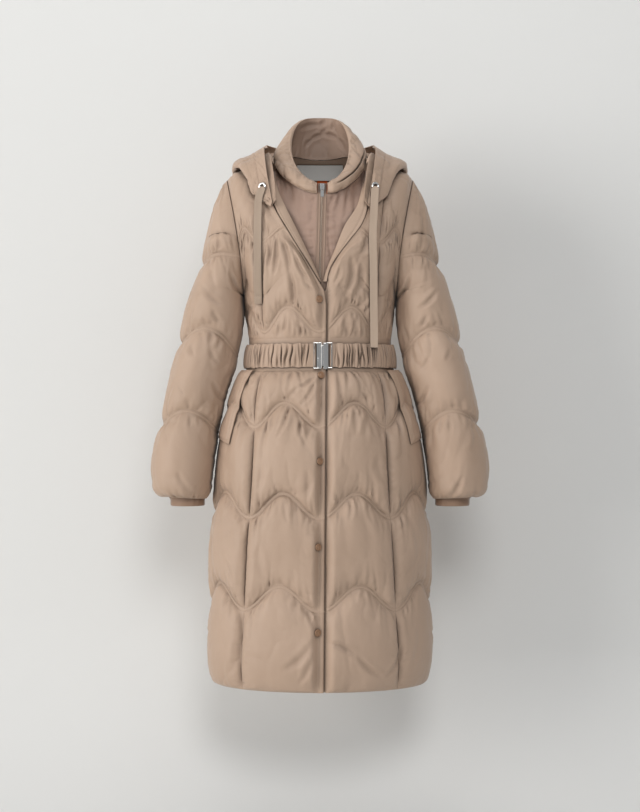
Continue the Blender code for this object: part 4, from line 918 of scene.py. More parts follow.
def wall(name, outer, inner, finish, node=None, closed=False, every=COARSE, lining=None):
    """A closed wall between a fine outer grid and an inner one that keeps every few points of it."""
    inner = inner[::every, ::every]
    rows, columns = outer.shape[:2]
    few_rows, few_columns = inner.shape[:2]
    size = rows * columns
    points = np.concatenate([outer.reshape(-1, 3), inner.reshape(-1, 3)])
    faces = grid_faces(rows, columns, 0, closed).tolist()
    faces += grid_faces(few_rows, few_columns, size, closed, True).tolist()
    place = np.arange(size).reshape(rows, columns)
    inside = np.arange(few_rows * few_columns).reshape(few_rows, few_columns) + size
    rims = [(place[0], inside[0], True), (place[-1], inside[-1], False)]
    if closed:
        rims = [(np.append(fine, fine[0]), np.append(few, few[0]), flip) for fine, few, flip in rims]
    else:
        rims += [(place[:, 0], inside[:, 0], False), (place[:, -1], inside[:, -1], True)]
    for fine, few, flip in rims:
        for k in range(len(few) - 1):
            edge = [*fine[k * every:(k + 1) * every + 1].tolist(), int(few[k + 1]), int(few[k])]
            faces.append(edge[::-1] if flip else edge)
    corner = outer[:-1:every, :-1:every]
    across = outer[:-1:every, every::every] - corner if not closed else np.roll(corner, -1, 1) - corner
    up = outer[every::every, :corner.shape[1] * every:every] - corner
    out = corner - inner[:corner.shape[0], :corner.shape[1]]
    if (np.cross(across, up) * out).sum() < 0.0:
        faces = [face[::-1] for face in faces]
    made = add_mesh(name, points, faces, finish, node)
    if lining:
        made.data.materials.append(lining)
        first = (rows - 1) * (columns if closed else columns - 1)
        last = first + (few_rows - 1) * (few_columns if closed else few_columns - 1)
        for polygon in made.data.polygons[first:last]:
            polygon.material_index = 1
    return made


STITCHED = []              # stitched lines found so far, each its points and their normals


def make_stitches(finish, pitch=0.0042, long=0.0030, thick=0.00030):
    """Short threads along every stitched line, lying on the cloth."""
    points, faces = [], []
    for line, normal in STITCHED:
        steps = np.linalg.norm(np.diff(line, axis=0), axis=1)
        total = np.concatenate([[0.0], np.cumsum(steps)])
        starts = np.arange(0.0, total[-1] - long, pitch)

        def place(values, at):
            return np.stack([np.interp(at, total, values[:, c]) for c in range(3)], axis=-1)

        first, middle, end = (place(line, starts + part) for part in (0.0, long / 2, long))
        up = place(normal, starts + long / 2)
        side = np.cross(end - first, up)
        side = side / np.maximum(np.linalg.norm(side, axis=-1, keepdims=True), 1e-9) * thick
        made = np.stack([first, middle + side, middle - side, middle + up * thick * 1.5, end], axis=1)
        made[:, (0, 4)] -= up[:, None] * 0.0001
        for k in range(len(starts)):
            start = len(points) + 5 * k
            corners = ((0, 1, 3), (0, 3, 2), (4, 3, 1), (4, 2, 3))
            faces += [(start + a, start + b, start + c) for a, b, c in corners]
        points += made.reshape(-1, 3).tolist()
    return add_mesh("stitches", np.array(points), faces, finish)


def smoothed(values, times):
    values = np.array(values, float)
    for _ in range(times):
        values[1:-1] = 0.25 * values[:-2] + 0.5 * values[1:-1] + 0.25 * values[2:]
    return values


# ---------------------------------------------------------------- body panels
PUFF = np.array((0.0135, 0.0140, 0.0140, 0.0120, 0.0, 0.0055, 0.0110, 0.0085))
BAND_HEIGHTS = (0.163, 0.187, 0.184, 0.115, 0.067, 0.045, 0.185, 0.240)
SEWN_ROWS = (1, 2, 3, 6, 7)
CELL = 0.0036


def fine_rows(low, high, height):
    """Values from low to high, closer together beside the stitched rows at whole numbers."""
    values = [float(low)]
    while values[-1] < high - 1e-6:
        away = abs(values[-1] + 0.0008 / height - round(values[-1])) * height
        values.append(values[-1] + mix(0.0013, CELL, min(away / 0.012, 1.0) ** 1.5) / height)
    values[-1] = float(high)
    return np.array(values)


def body_rows():
    rows = [band + fine_rows(0.0, 1.0, height)[:-1] for band, height in enumerate(BAND_HEIGHTS)]
    return whole_cells(np.concatenate(rows + [[SHOULDER - 0.0016]]))


def even_columns(start, end):
    """Shares across a panel: even, with closer ones at its two seams."""
    widest = max(abs(end(v) - start(v)) * 0.155 for v in (0.5, 1.5, 2.5, 6.5))
    edge = np.array((0.0, 0.0012, 0.0026, 0.0044, 0.0068, 0.0100)) / widest
    middle = np.linspace(edge[-1], 1.0 - edge[-1], int(widest / CELL))
    return whole_cells(np.concatenate([edge[:-1], middle, 1.0 - edge[-2::-1]]))


# Folds of the front, seen from ahead: both ends, bend, width and depth.
FRONT_FOLDS = (
    (-0.109, -0.166, -0.114, -0.312, -0.006, 0.0050, 0.0036),
    (-0.101, -0.162, -0.103, -0.233, 0.003, 0.0036, 0.0026),
    (-0.089, -0.168, -0.091, -0.249, 0.004, 0.0040, 0.0028),
    (-0.077, -0.176, -0.061, -0.241, 0.005, 0.0045, 0.0034),
    (-0.061, -0.233, -0.055, -0.326, 0.006, 0.0048, 0.0034),
    (-0.051, -0.204, -0.010, -0.275, -0.006, 0.0036, 0.0030),
    (-0.034, -0.253, -0.008, -0.286, -0.003, 0.0032, 0.0022),
    (-0.081, -0.336, -0.091, -0.391, 0.004, 0.0038, 0.0030),
    (-0.067, -0.332, -0.075, -0.367, 0.002, 0.0032, 0.0024),
    (-0.051, -0.338, -0.034, -0.379, 0.003, 0.0036, 0.0026),
    (-0.146, -0.308, -0.130, -0.389, -0.004, 0.0046, 0.0038),
    (-0.123, -0.314, -0.128, -0.389, 0.004, 0.0040, 0.0028),
    (0.061, -0.213, 0.049, -0.294, 0.006, 0.0055, 0.0028),
    (0.081, -0.225, 0.065, -0.302, 0.006, 0.0055, 0.0026),
    (0.039, -0.233, 0.026, -0.271, 0.002, 0.0040, 0.0020),
    (0.087, -0.298, 0.063, -0.334, 0.002, 0.0034, 0.0024),
    (0.101, -0.298, 0.085, -0.328, 0.002, 0.0034, 0.0024),
    (0.049, -0.334, 0.055, -0.367, -0.002, 0.0034, 0.0022),
    (0.071, -0.332, 0.077, -0.389, -0.003, 0.0036, 0.0026),
    (0.085, -0.338, 0.101, -0.377, 0.002, 0.0034, 0.0024),
    (0.150, -0.322, 0.148, -0.389, -0.006, 0.0044, 0.0034),
    (0.134, -0.338, 0.130, -0.389, 0.002, 0.0040, 0.0026),
    (0.156, -0.225, 0.154, -0.302, 0.004, 0.0050, 0.0026),
    (-0.008, -0.458, -0.041, -0.480, 0.003, 0.0034, 0.0028),
    (-0.041, -0.480, -0.065, -0.506, -0.002, 0.0036, 0.0022),
    (-0.009, -0.466, -0.039, -0.515, 0.005, 0.0034, 0.0026),
    (-0.091, -0.519, -0.099, -0.573, 0.003, 0.0038, 0.0022),
    (-0.061, -0.517, -0.083, -0.581, 0.004, 0.0040, 0.0024),
    (-0.039, -0.537, -0.028, -0.598, -0.004, 0.0036, 0.0020),
    (0.081, -0.488, 0.097, -0.511, 0.002, 0.0032, 0.0018),
    (0.065, -0.517, 0.069, -0.577, 0.003, 0.0045, 0.0018),
    (0.097, -0.513, 0.105, -0.577, -0.003, 0.0045, 0.0018),
    (-0.118, -0.448, -0.126, -0.508, 0.003, 0.0042, 0.0026),
    (0.138, -0.448, 0.144, -0.504, -0.003, 0.0042, 0.0026),
    (-0.097, -0.697, -0.101, -0.748, 0.002, 0.0036, 0.0016),
    (-0.069, -0.701, -0.063, -0.752, -0.002, 0.0036, 0.0016),
    (0.061, -0.701, 0.057, -0.748, 0.002, 0.0036, 0.0016),
    (0.093, -0.703, 0.101, -0.754, -0.002, 0.0036, 0.0016),
    (-0.036, -0.918, -0.012, -0.961, 0.003, 0.0040, 0.0026),
    (-0.166, -0.918, -0.157, -0.967, 0.003, 0.0040, 0.0024),
    (-0.008, -0.983, -0.073, -1.048, 0.008, 0.0070, 0.0028),
    (-0.008, -0.991, -0.041, -1.076, 0.006, 0.0060, 0.0024),
    (0.013, -0.990, 0.071, -1.017, 0.004, 0.0045, 0.0030),
    (0.071, -1.017, 0.122, -1.064, -0.004, 0.0045, 0.0028),
    (0.129, -1.064, 0.164, -0.999, -0.008, 0.0045, 0.0026),
    (-0.186, -0.829, -0.170, -0.890, 0.003, 0.0040, 0.0020),
    (0.178, -0.748, 0.191, -0.829, 0.004, 0.0050, 0.0020),
    (0.193, -0.967, 0.180, -1.048, 0.006, 0.0060, 0.0020),
    (-0.162, -0.991, -0.178, -1.064, 0.006, 0.0070, 0.0020),
    (-0.118, -0.798, -0.105, -0.869, -0.006, 0.0070, 0.0016),
    (0.111, -0.616, 0.130, -0.679, -0.006, 0.0070, 0.0016),
    (-0.126, -0.616, -0.118, -0.687, 0.006, 0.0070, 0.0016),
    (-0.024, -0.646, -0.032, -0.719, 0.004, 0.0060, 0.0016),
)
# The back's folds, seen from behind.
BACK_FOLDS = (
    (-0.030, -0.480, -0.070, -0.560, 0.008, 0.0050, 0.0028),
    (0.040, -0.470, 0.060, -0.550, -0.006, 0.0046, 0.0026),
    (0.012, -0.455, 0.020, -0.505, 0.003, 0.0040, 0.0026),
    (-0.100, -0.600, -0.085, -0.700, 0.006, 0.0060, 0.0020),
    (-0.010, -0.600, 0.004, -0.705, -0.005, 0.0060, 0.0018),
    (0.090, -0.590, 0.100, -0.690, 0.004, 0.0060, 0.0018),
    (-0.060, -0.780, -0.052, -0.880, 0.004, 0.0065, 0.0018),
    (0.030, -0.780, 0.045, -0.890, 0.006, 0.0065, 0.0018),
    (0.130, -0.790, 0.120, -0.890, -0.004, 0.0065, 0.0018),
    (-0.120, -0.970, -0.060, -1.040, 0.008, 0.0060, 0.0026),
    (-0.060, -1.040, -0.010, -0.985, -0.006, 0.0055, 0.0024),
    (0.020, -0.980, 0.095, -1.050, -0.008, 0.0065, 0.0026),
    (-0.070, -0.220, -0.086, -0.352, 0.005, 0.0050, 0.0030),
    (-0.104, -0.190, -0.096, -0.290, -0.004, 0.0046, 0.0028),
    (-0.030, -0.300, -0.036, -0.370, 0.003, 0.0040, 0.0026),
    (0.012, -0.260, 0.004, -0.355, 0.004, 0.0050, 0.0026),
    (0.074, -0.210, 0.088, -0.350, -0.005, 0.0050, 0.0030),
    (0.106, -0.200, 0.096, -0.280, 0.004, 0.0046, 0.0026),
)
# Folds of both sides: y and z of both ends.
SIDE_FOLDS = (
    (-0.010, -0.455, -0.030, -0.540, 0.006, 0.0050, 0.0028),
    (0.030, -0.460, 0.046, -0.535, -0.004, 0.0048, 0.0024),
    (0.020, -0.610, 0.012, -0.700, 0.005, 0.0060, 0.0018),
    (-0.040, -0.780, -0.050, -0.870, 0.005, 0.0060, 0.0018),
    (0.050, -0.790, 0.040, -0.880, -0.005, 0.0060, 0.0018),
    (-0.030, -0.980, 0.020, -1.040, 0.006, 0.0060, 0.0024),
    (0.020, -0.310, 0.030, -0.385, 0.004, 0.0046, 0.0028),
    (-0.020, -0.315, -0.034, -0.380, -0.004, 0.0046, 0.0028),
)


def row_gap(u, v, point, row):
    """Distance from a stitched row's line up to each point, negative below it."""
    at = np.full(u.shape, float(row))
    straight = np.linalg.norm(point - body(u, at), axis=-1)
    if row <= LAST_ROW:
        slope = (row_height(u + 0.01, at) - row_height(u - 0.01, at)) / (0.02 * U_WIDTH)
        straight = straight / np.sqrt(1.0 + slope**2)
    return straight * np.sign(v - row)


def body_height(u, v, share, seams, calm=1.0):
    """Height of a panel's outer cloth over its base surface. share scales its padding."""
    point = body(u, v)
    span = np.linalg.norm(body(u + 0.01, v) - body(u - 0.01, v), axis=-1) / 0.02
    band = np.clip(np.floor(v), 0, LAST_ROW).astype(int)
    height = PUFF[band] * flat_top(v - band) * share
    near_arm = np.exp(-(((np.abs(u) - 2.0) / 0.4) ** 2)) * smooth_step(4.5, 6.0, v)
    height = height * (1.0 - 0.7 * near_arm)
    around = u * U_WIDTH
    near, roll, relief = np.full(u.shape, 1.0), np.zeros(u.shape), np.zeros(u.shape)
    for row in range(SHOULDER + 1):
        gap = row_gap(u, v, point, row)
        away = np.abs(gap)
        deep, reach, wide, spacing = 0.0010, 0.020, 0.0040, 0.028
        if row in SEWN_ROWS:
            roll += ridge(away) * (0.8 + 0.5 * noise(point, 0.005, 60 + row))
            away = away - STITCH_HALF
            deep, reach, wide, spacing = 0.0030, 0.022, 0.0028, 0.0120
        if row in (BELT_FOOT, BELT_HEAD):
            deep, reach, wide, spacing = 0.0036, 0.036, 0.0034, 0.0150
        height = height * rise(away, 0.0105 if row in SEWN_ROWS else 0.0090)
        near = np.minimum(near, np.abs(away))
        if row != BELT_FOOT:
            relief += gathers(around, np.where(gap > 0.0, away, -1.0), spacing, reach, deep, wide, 100 + row)
        if row not in (HEM, BELT_HEAD):
            relief += gathers(around, np.where(gap < 0.0, away, -1.0), spacing, reach, deep, wide, 200 + row)
            relief += gathers(around, np.where(gap < 0.0, away, -1.0), 0.05, 0.06, 0.0018, 0.0050, 300 + row)
    for seam in seams:
        away = np.abs(u - seam) * span
        height = height * (1.0 - 0.9 * np.exp(-away / 0.0085))
        relief += gathers(point[..., 2], away, 0.019, 0.016, 0.0018, 0.0032, int(400 + seam * 7))
    front = np.abs(u).mean() < 2.0
    seen_x = point[..., 0] * (1.0 if front else -1.0)
    folds = fold_lines(seen_x, point[..., 2], FRONT_FOLDS if front else BACK_FOLDS)
    beside = smooth_step(0.80, 0.93, np.abs(point[..., 0]) / read(BODY, "z", "half_width", point[..., 2]))
    folds = folds * (1.0 - beside) + beside * fold_lines(point[..., 1], point[..., 2], SIDE_FOLDS)
    folds = folds * 1.35
    strong = np.where(v > BELT_HEAD, 1.35, 0.85) * (0.45 + 0.8 * np.exp(-near / 0.03))
    relief = (relief + folds + crumple(point, 1.0, 11) * strong) * calm
    relief = relief * smooth_step(0.0002, 0.0050, height)
    under_belt = (v > BELT_FOOT) & (v < BELT_HEAD)
    height = np.maximum(height + relief, np.minimum(height, 0.0003))
    return np.where(under_belt, 0.0, height) + roll


def panel_points(u, v, height, sink=0.0):
    base, normal = body(u, v), body_normal(u, v)
    outer = base + normal * (CLOTH_OUT + height - sink)[..., None]
    inner = base - normal * (CLOTH_IN + np.broadcast_to(sink, u.shape))[..., None]
    return outer, inner


def panel_grid(start, end, top=None):
    rows = body_rows()
    low = np.array([start(v) for v in rows])
    high = np.array([end(v) for v in rows])
    low = low + u_step(low + 0.01, rows, SEAM_GAP / 2)
    high = high - u_step(high - 0.01, rows, SEAM_GAP / 2)
    columns = even_columns(start, end)
    u = low[:, None] + (high - low)[:, None] * columns[None, :]
    v = np.repeat(rows[:, None], len(columns), axis=1)
    if top is not None:
        last = top(u)
        v = np.where(v > LAST_ROW, LAST_ROW + (v - LAST_ROW) * (last - LAST_ROW), v)
    return u, v


def make_side_panels(finish):
    made = {}
    for name, low, high in (
        ("side_front_left", 1.0, 2.0),
        ("side_back_left", 2.0, 3.0),
        ("side_front_right", -2.0, -1.0),
        ("side_back_right", -3.0, -2.0),
    ):
        u, v = panel_grid(lambda v: low, lambda v: high)
        height = body_height(u, v, 1.0, (low, high))
        made[name] = wall(name + "_cloth", *panel_points(u, v, height), finish, name)
    return made


def make_back(finish):
    u, v = panel_grid(lambda v: 3.0, lambda v: 5.0, back_neck)
    share = smooth_step(0.0, 0.22, back_neck(u) - v)
    return wall("back_cloth", *panel_points(u, v, body_height(u, v, share, (3.0, 5.0))), finish, "back")


def edge_values(offset, side):
    """u of a front's edge at each row, worked out at some rows and read between them."""
    known = np.concatenate([np.linspace(0.0, V_POINT, 40), np.linspace(V_POINT + 1e-4, SHOULDER, 24)])
    values = [edge_u(v, offset) if v < V_POINT else v_edge(v, side) for v in known]
    return lambda v: float(np.interp(v, known, values))


def make_front_right(finish):
    u, v = panel_grid(lambda v: -1.0, edge_values(0.0, "right"))
    from_edge = (u[:, -1:] - u) * U_WIDTH
    share = smooth_step(0.42 * PLACKET_WIDTH, 0.95 * PLACKET_WIDTH, from_edge)
    placket = 0.40 * PLACKET_WIDTH                      # its stitched line, from the edge
    roll = np.sin(math.pi * np.clip(from_edge / placket, 0.0, 1.0)) ** 0.5
    pucker = gathers(v * 0.16, np.abs(from_edge - placket), 0.012, 0.010, 0.0009, 0.0022, 90)
    height = body_height(u, v, share, (-1.0,), 0.25 + 0.75 * share)
    beside = 0.0004 + pucker * rise(from_edge - placket, 0.002)
    height = height + np.where(from_edge < placket, 0.0016 * roll, beside)
    return wall("front_right_cloth", *panel_points(u, v, np.maximum(height, 0.0)), finish, "front_right")


def make_front_left(finish):
    u, v = panel_grid(edge_values(-FRONT_OVERLAP, "left"), lambda v: 1.0)
    under = v < V_POINT + 0.1
    point = body(u, v)
    offset = point[..., 0] - read(TOP_EDGE, "z", "x", point[..., 2])
    sink = np.where(under, UNDERLAP * (1.0 - smooth_step(0.002, 0.006, offset)), 0.0)
    reach = np.where(under, offset, (u - u[:, :1]) * U_WIDTH)
    share = smooth_step(0.003, 0.020, reach)
    height = body_height(u, v, share, (1.0,), 0.2 + 0.8 * share)
    height = np.where(under & (offset < 0.004), np.minimum(height, 0.0006), height)
    return wall("front_left_cloth", *panel_points(u, v, height, sink), finish, "front_left")


def stitch_body(panels):
    """The two stitched lines of every quilting row, laid on the panels."""
    carrier = surface_of(*panels.values())
    for row in SEWN_ROWS:
        if row < V_POINT:
            parts = [(edge_u(float(row), 0.006), FULL_TURN + edge_u(float(row), -0.010))]
        else:
            last = FULL_TURN + v_edge(row, "right") - 0.03
            parts = [(v_edge(row, "left") + 0.03, 1.97), (2.03, 5.97), (6.03, last)]
        for start, end in parts:
            u = np.linspace(start, end, int((end - start) * U_WIDTH / 0.003))
            at = np.full(u.shape, float(row))
            slope = (row_height(u + 0.01, at) - row_height(u - 0.01, at)) / (0.02 * U_WIDTH)
            for side in (-1.0, 1.0):
                step = np.linalg.norm(body(u, at + side * 0.01) - body(u, at), axis=-1) / 0.01
                v = at + side * STITCH_HALF * np.sqrt(1.0 + slope**2) / step
                normal = body_normal(u, v)
                STITCHED.append((seated(body(u, v), normal, carrier, 0.0), normal))
    v = np.linspace(0.05, V_POINT - 0.05, 500)
    u = np.interp(v, v[::25], [edge_u(row, -0.41 * PLACKET_WIDTH) for row in v[::25]])
    normal = body_normal(u, v)
    STITCHED.append((seated(body(u, v), normal, carrier, 0.0), normal))


# ---------------------------------------------------------------- sleeves and cuffs
# Folds of the sleeves' fronts, mirrored and moved a little for the other sleeve and the backs.
SLEEVE_FOLDS = (
    (0.187, -0.236, 0.158, -0.293, 0.006, 0.0042, 0.0040),
    (0.236, -0.268, 0.203, -0.309, 0.005, 0.0042, 0.0036),
    (0.222, -0.318, 0.203, -0.348, 0.003, 0.0038, 0.0034),
    (0.239, -0.332, 0.228, -0.357, 0.002, 0.0036, 0.0026),
    (0.261, -0.391, 0.256, -0.416, 0.002, 0.0036, 0.0028),
    (0.226, -0.405, 0.214, -0.428, 0.002, 0.0036, 0.0026),
    (0.226, -0.465, 0.201, -0.508, 0.005, 0.0044, 0.0040),
    (0.264, -0.535, 0.267, -0.560, 0.002, 0.0034, 0.0026),
    (0.250, -0.535, 0.250, -0.562, 0.001, 0.0034, 0.0026),
    (0.232, -0.535, 0.228, -0.566, 0.002, 0.0036, 0.0028),
    (0.291, -0.650, 0.261, -0.695, 0.006, 0.0044, 0.0034),
    (0.205, -0.150, 0.196, -0.205, 0.004, 0.0050, 0.0024),
    (0.312, -0.560, 0.306, -0.600, 0.002, 0.0040, 0.0022),
)
SLEEVE_BANDS = (0.140, 0.160, 0.160, 0.175)


def sleeve_height(across, row, point, moved):
    """Height of a sleeve's outer cloth over its base surface. moved shifts its folds."""
    base = sleeve(across, row)
    span = np.linalg.norm(sleeve(across + 0.01, row) - sleeve(across - 0.01, row), axis=-1) / 0.02
    band = np.clip(np.floor(row), 0, 3)
    height = 1.1 * SLEEVE_PUFF * flat_top(row - band)
    near, roll, relief = np.full(row.shape, 1.0), np.zeros(row.shape), np.zeros(row.shape)
    around = across * 0.19
    for seam in range(5):
        at = np.full(row.shape, float(seam))
        ends = sleeve(across + 0.01, at) - sleeve(across - 0.01, at)
        slope = ends[..., 2] / np.maximum(np.linalg.norm(ends[..., :2], axis=-1), 1e-5)
        gap = np.linalg.norm(base - sleeve(across, at), axis=-1) / np.sqrt(1.0 + slope**2)
        away, above = gap, row > seam
        deep, reach, wide, spacing = 0.0026, 0.026, 0.0034, 0.0150
        if seam in (1, 2, 3):
            roll += ridge(gap) * (0.8 + 0.5 * noise(point, 0.005, 70 + seam))
            away = gap - STITCH_HALF
        height = height * rise(away, 0.0105)
        near = np.minimum(near, np.abs(away))
        seed = 500 + 10 * seam + int(1e4 * moved)
        relief += gathers(around, np.where(above, away, -1.0), spacing, reach, deep, wide, seed)
        relief += gathers(around, np.where(above, -1.0, away), spacing, reach, deep, wide, seed + 5)
        relief += gathers(around, np.where(above, -1.0, away), 0.045, 0.06, 0.0022, 0.0050, seed + 7)
    reach = (1.0 - np.abs(across)) * span
    height = height * (1.0 - 0.9 * np.exp(-reach / 0.0085))
    height = height * (1.0 - 0.6 * smooth_step(0.55, 0.95, np.abs(across)))
    relief += gathers(row * 0.16, reach, 0.020, 0.020, 0.0022, 0.0036, 660)
    shift = np.where(across > 0.0, moved, -0.013 - moved)
    relief += fold_lines(np.abs(point[..., 0]), point[..., 2] + shift, SLEEVE_FOLDS)
    relief += crumple(point, 1.1, 31) * (0.5 + 0.8 * np.exp(-near / 0.03))
    relief = relief * smooth_step(0.0002, 0.0050, height)
    return np.maximum(height + relief, np.minimum(height, 0.0003)) + roll


def make_sleeves(finish, cuff_finish):
    rows = [band + fine_rows(0.0, 1.0, height)[:-1] for band, height in enumerate(SLEEVE_BANDS)]
    rows = whole_cells(np.concatenate(rows + [[4.0]]))
    across = np.linspace(-1.0, 1.0, 129) * 0.9993
    a, r = np.meshgrid(across, rows)
    base, normal = sleeve(a, r), sleeve_normal(a, r)
    cuff, cuff_inner = cuff_walls()
    made = {}
    for side, flip, moved in (("left", lambda points: points, 0.009), ("right", mirrored, 0.0)):
        height = sleeve_height(a, r, flip(base) + np.array([0.0, 3.0 * moved / 0.009, 0.0]), moved)
        outer = flip(base + normal * (CLOTH_OUT + height)[..., None])
        name = "sleeve_" + side
        made[name] = wall(name + "_cloth", outer, flip(base - normal * CLOTH_IN), finish, name)
        wall(f"cuff_{side}_knit", flip(cuff), flip(cuff_inner), cuff_finish, "cuff_" + side, closed=True)
        carrier = surface_of(made[name])
        along = np.linspace(-0.97, 0.97, 140)
        for row in (1.0, 2.0, 3.0):
            at = np.full(along.shape, row)
            ends = sleeve(along + 0.01, at) - sleeve(along - 0.01, at)
            slope = ends[:, 2] / np.linalg.norm(ends[:, :2], axis=-1)
            for up in (-1.0, 1.0):
                step = np.linalg.norm(sleeve(along, at + up * 0.01) - sleeve(along, at), axis=-1) / 0.01
                line = at + up * STITCH_HALF * np.sqrt(1.0 + slope**2) / step
                facing = flip(sleeve_normal(along, line))
                STITCHED.append((seated(flip(sleeve(along, line)), facing, carrier, 0.0), facing))
    return made


def cuff_walls():
    """Outer and inner points of the left storm cuff: sewn inside the sleeve, rounded at its edge."""
    around = np.linspace(-1.0, 1.0, 97)[:-1]
    sewn = np.full(around.shape, CUFF_ROW)
    top = sleeve(around, sewn) - sleeve_normal(around, sewn) * CUFF_INSET
    rings = []
    for part in np.concatenate([np.linspace(0.0, 0.9, 17), (0.94, 0.97, 0.99, 1.0)]):
        z = mix(top[:, 2], CUFF_RINGS["z"][-1], part)
        drawn = smooth_step(0.0, 0.72, part)
        ripple = 1.0 + 0.010 * np.sin(35.0 * around + 2.0 * np.sin(9.0 * around)) * drawn
        round_foot = 1.0 - 0.03 * smooth_step(0.93, 1.0, part)
        half_width, half_depth = 0.0354 * ripple * round_foot, 0.0334 * ripple * round_foot
        x = CUFF_MIDDLE[0] + half_width * np.cos(math.pi * around)
        y = CUFF_MIDDLE[1] - half_depth * np.sin(math.pi * around)
        rings.append(np.stack([mix(top[:, 0], x, drawn), mix(top[:, 1], y, drawn), z], axis=-1))
    outer = np.array(rings)
    out = (outer - np.array([*CUFF_MIDDLE, 0.0])) * np.array([1.0, 1.0, 0.0])
    out = out / np.linalg.norm(out, axis=-1, keepdims=True)
    return outer, outer - out * CUFF_WALL


# ---------------------------------------------------------------- collar, bib, facings
# Creases inside the back of the collar: x and z of both ends, bend, width and depth.
COLLAR_CREASES = (
    (-0.046, 0.066, 0.000, 0.078, 0.004, 0.0045, 0.0030),
    (0.000, 0.078, 0.012, 0.088, -0.002, 0.0050, 0.0034),
    (-0.034, 0.026, -0.018, 0.047, 0.003, 0.0040, 0.0026),
    (-0.020, 0.046, 0.006, 0.057, 0.002, 0.0042, 0.0034),
    (0.004, 0.057, 0.012, 0.068, 0.001, 0.0045, 0.0034),
    (0.004, 0.057, 0.040, 0.047, 0.004, 0.0045, 0.0036),
    (0.038, 0.048, 0.054, 0.020, 0.002, 0.0042, 0.0030),
    (0.030, 0.084, 0.026, 0.066, 0.002, 0.0040, 0.0022),
)


COLLAR_RAISED = 0.006      # those heights are for a collar this much lower


def make_collar(finish, lining_finish):
    height, share = np.meshgrid(np.linspace(0.0, 1.0, 49), np.linspace(0.0, 1.0, 261), indexing="ij")
    start = np.arcsin(COLLAR_OPENING / mix(COLLAR_BASE[0], COLLAR_TOP[0], height))
    end = 2.0 * math.pi - start
    turn = mix(start, end, share)
    base, normal = collar(turn, height), collar_normal(turn, height)
    from_end = np.minimum(turn - start, end - turn) * 0.08
    around, up = turn * 0.085, height * 0.085
    swell = 0.0094 * round_top(height, 0.45) * (0.3 + 0.7 * smooth_step(0.0, 0.010, from_end))
    relief = gathers(around, 0.082 - up, 0.012, 0.022, 0.0018, 0.0030, 700)
    relief += gathers(around, up, 0.013, 0.020, 0.0018, 0.0034, 701)
    relief += gathers(up, from_end, 0.012, 0.018, 0.0014, 0.0030, 702)
    # The wearer's left side is folded over along a deep line.
    turned_over = smooth_step(0.25, 0.6, turn) * smooth_step(2.5, 1.8, turn)
    line = height - 0.46 - 0.05 * np.sin(3.0 * turn)
    relief -= 0.0060 * turned_over * np.exp(-((line * 0.085 / 0.0026) ** 2))
    relief += crumple(base, 1.3, 41)
    relief = relief * smooth_step(0.0, 0.10, height) * smooth_step(1.0, 0.90, height)
    raised = np.maximum(swell + relief * smooth_step(0.0, 0.01, from_end), 0.0)
    outer = base + normal * (CLOTH_OUT + raised)[..., None]
    behind = smooth_step(0.35, 0.75, -np.cos(turn))
    lining = 0.75 * fold_lines(base[..., 0], base[..., 2] - COLLAR_RAISED, COLLAR_CREASES) * behind
    lining += gathers(around, up, 0.010, 0.012, 0.0012, 0.0024, 703) + crumple(base, 0.5, 43)
    lining += 0.0035 * np.sin(math.pi * height) ** 0.7
    lining = np.maximum(lining, 0.0) * smooth_step(0.0, 0.05, height) * smooth_step(1.0, 0.93, height)
    lining = lining * smooth_step(0.0, 0.02, from_end)
    inner = base - normal * (CLOTH_IN + lining)[..., None]
    return wall("collar_cloth", outer, inner, finish, "collar", every=1, lining=lining_finish)


def facing_front(base):
    normal = grid_normals(base)
    return normal * np.where(normal[..., 1:2] > 0.0, -1.0, 1.0)


def make_bib(side, finish):
    sign = 1.0 if side == "left" else -1.0
    part, up = np.meshgrid(np.linspace(0, 1, 41), np.linspace(0.0, 1.0, 89))
    rim = np.abs(read(V_NECK, "z", side, mix(ZIP_FOOT, BIB_HEAD, up))) + BIB_REACH
    rim = np.minimum(rim, BIB_SIDE + (1.0 - up) * BIB_SIDE)
    start = sign * zip_x(mix(ZIP_FOOT, BIB_ZIP_HEAD, up)) + ZIP_WIDTH / 2 + SEAM_GAP
    x = sign * mix(start, rim, part)
    top = bib_y(x, np.full(x.shape, BIB_ZIP_HEAD))[1] - BIB_TOP_GAP
    z = mix(ZIP_FOOT, top, up)
    base = np.stack([x, bib_y(x, z)[0], z], axis=-1)
    normal = facing_front(base)
    away = np.abs(np.abs(x) - start)
    relief = gathers(z, away, 0.017, 0.026, 0.0018, 0.0036, 800 + int(sign))
    relief += gathers(x * sign, top - z, 0.012, 0.035, 0.0018, 0.0036, 810 + int(sign))
    relief += crumple(base, 0.8, 51) - 0.0006
    relief = np.clip(relief * smooth_step(0.0, 0.006, away) * smooth_step(1.0, 0.95, up), -0.0026, 0.0008)
    outer = base + normal * (BIB_WALL + relief)[..., None]
    return wall(f"bib_{side}_cloth", outer, base - normal * 0.0034, finish, "bib_" + side)


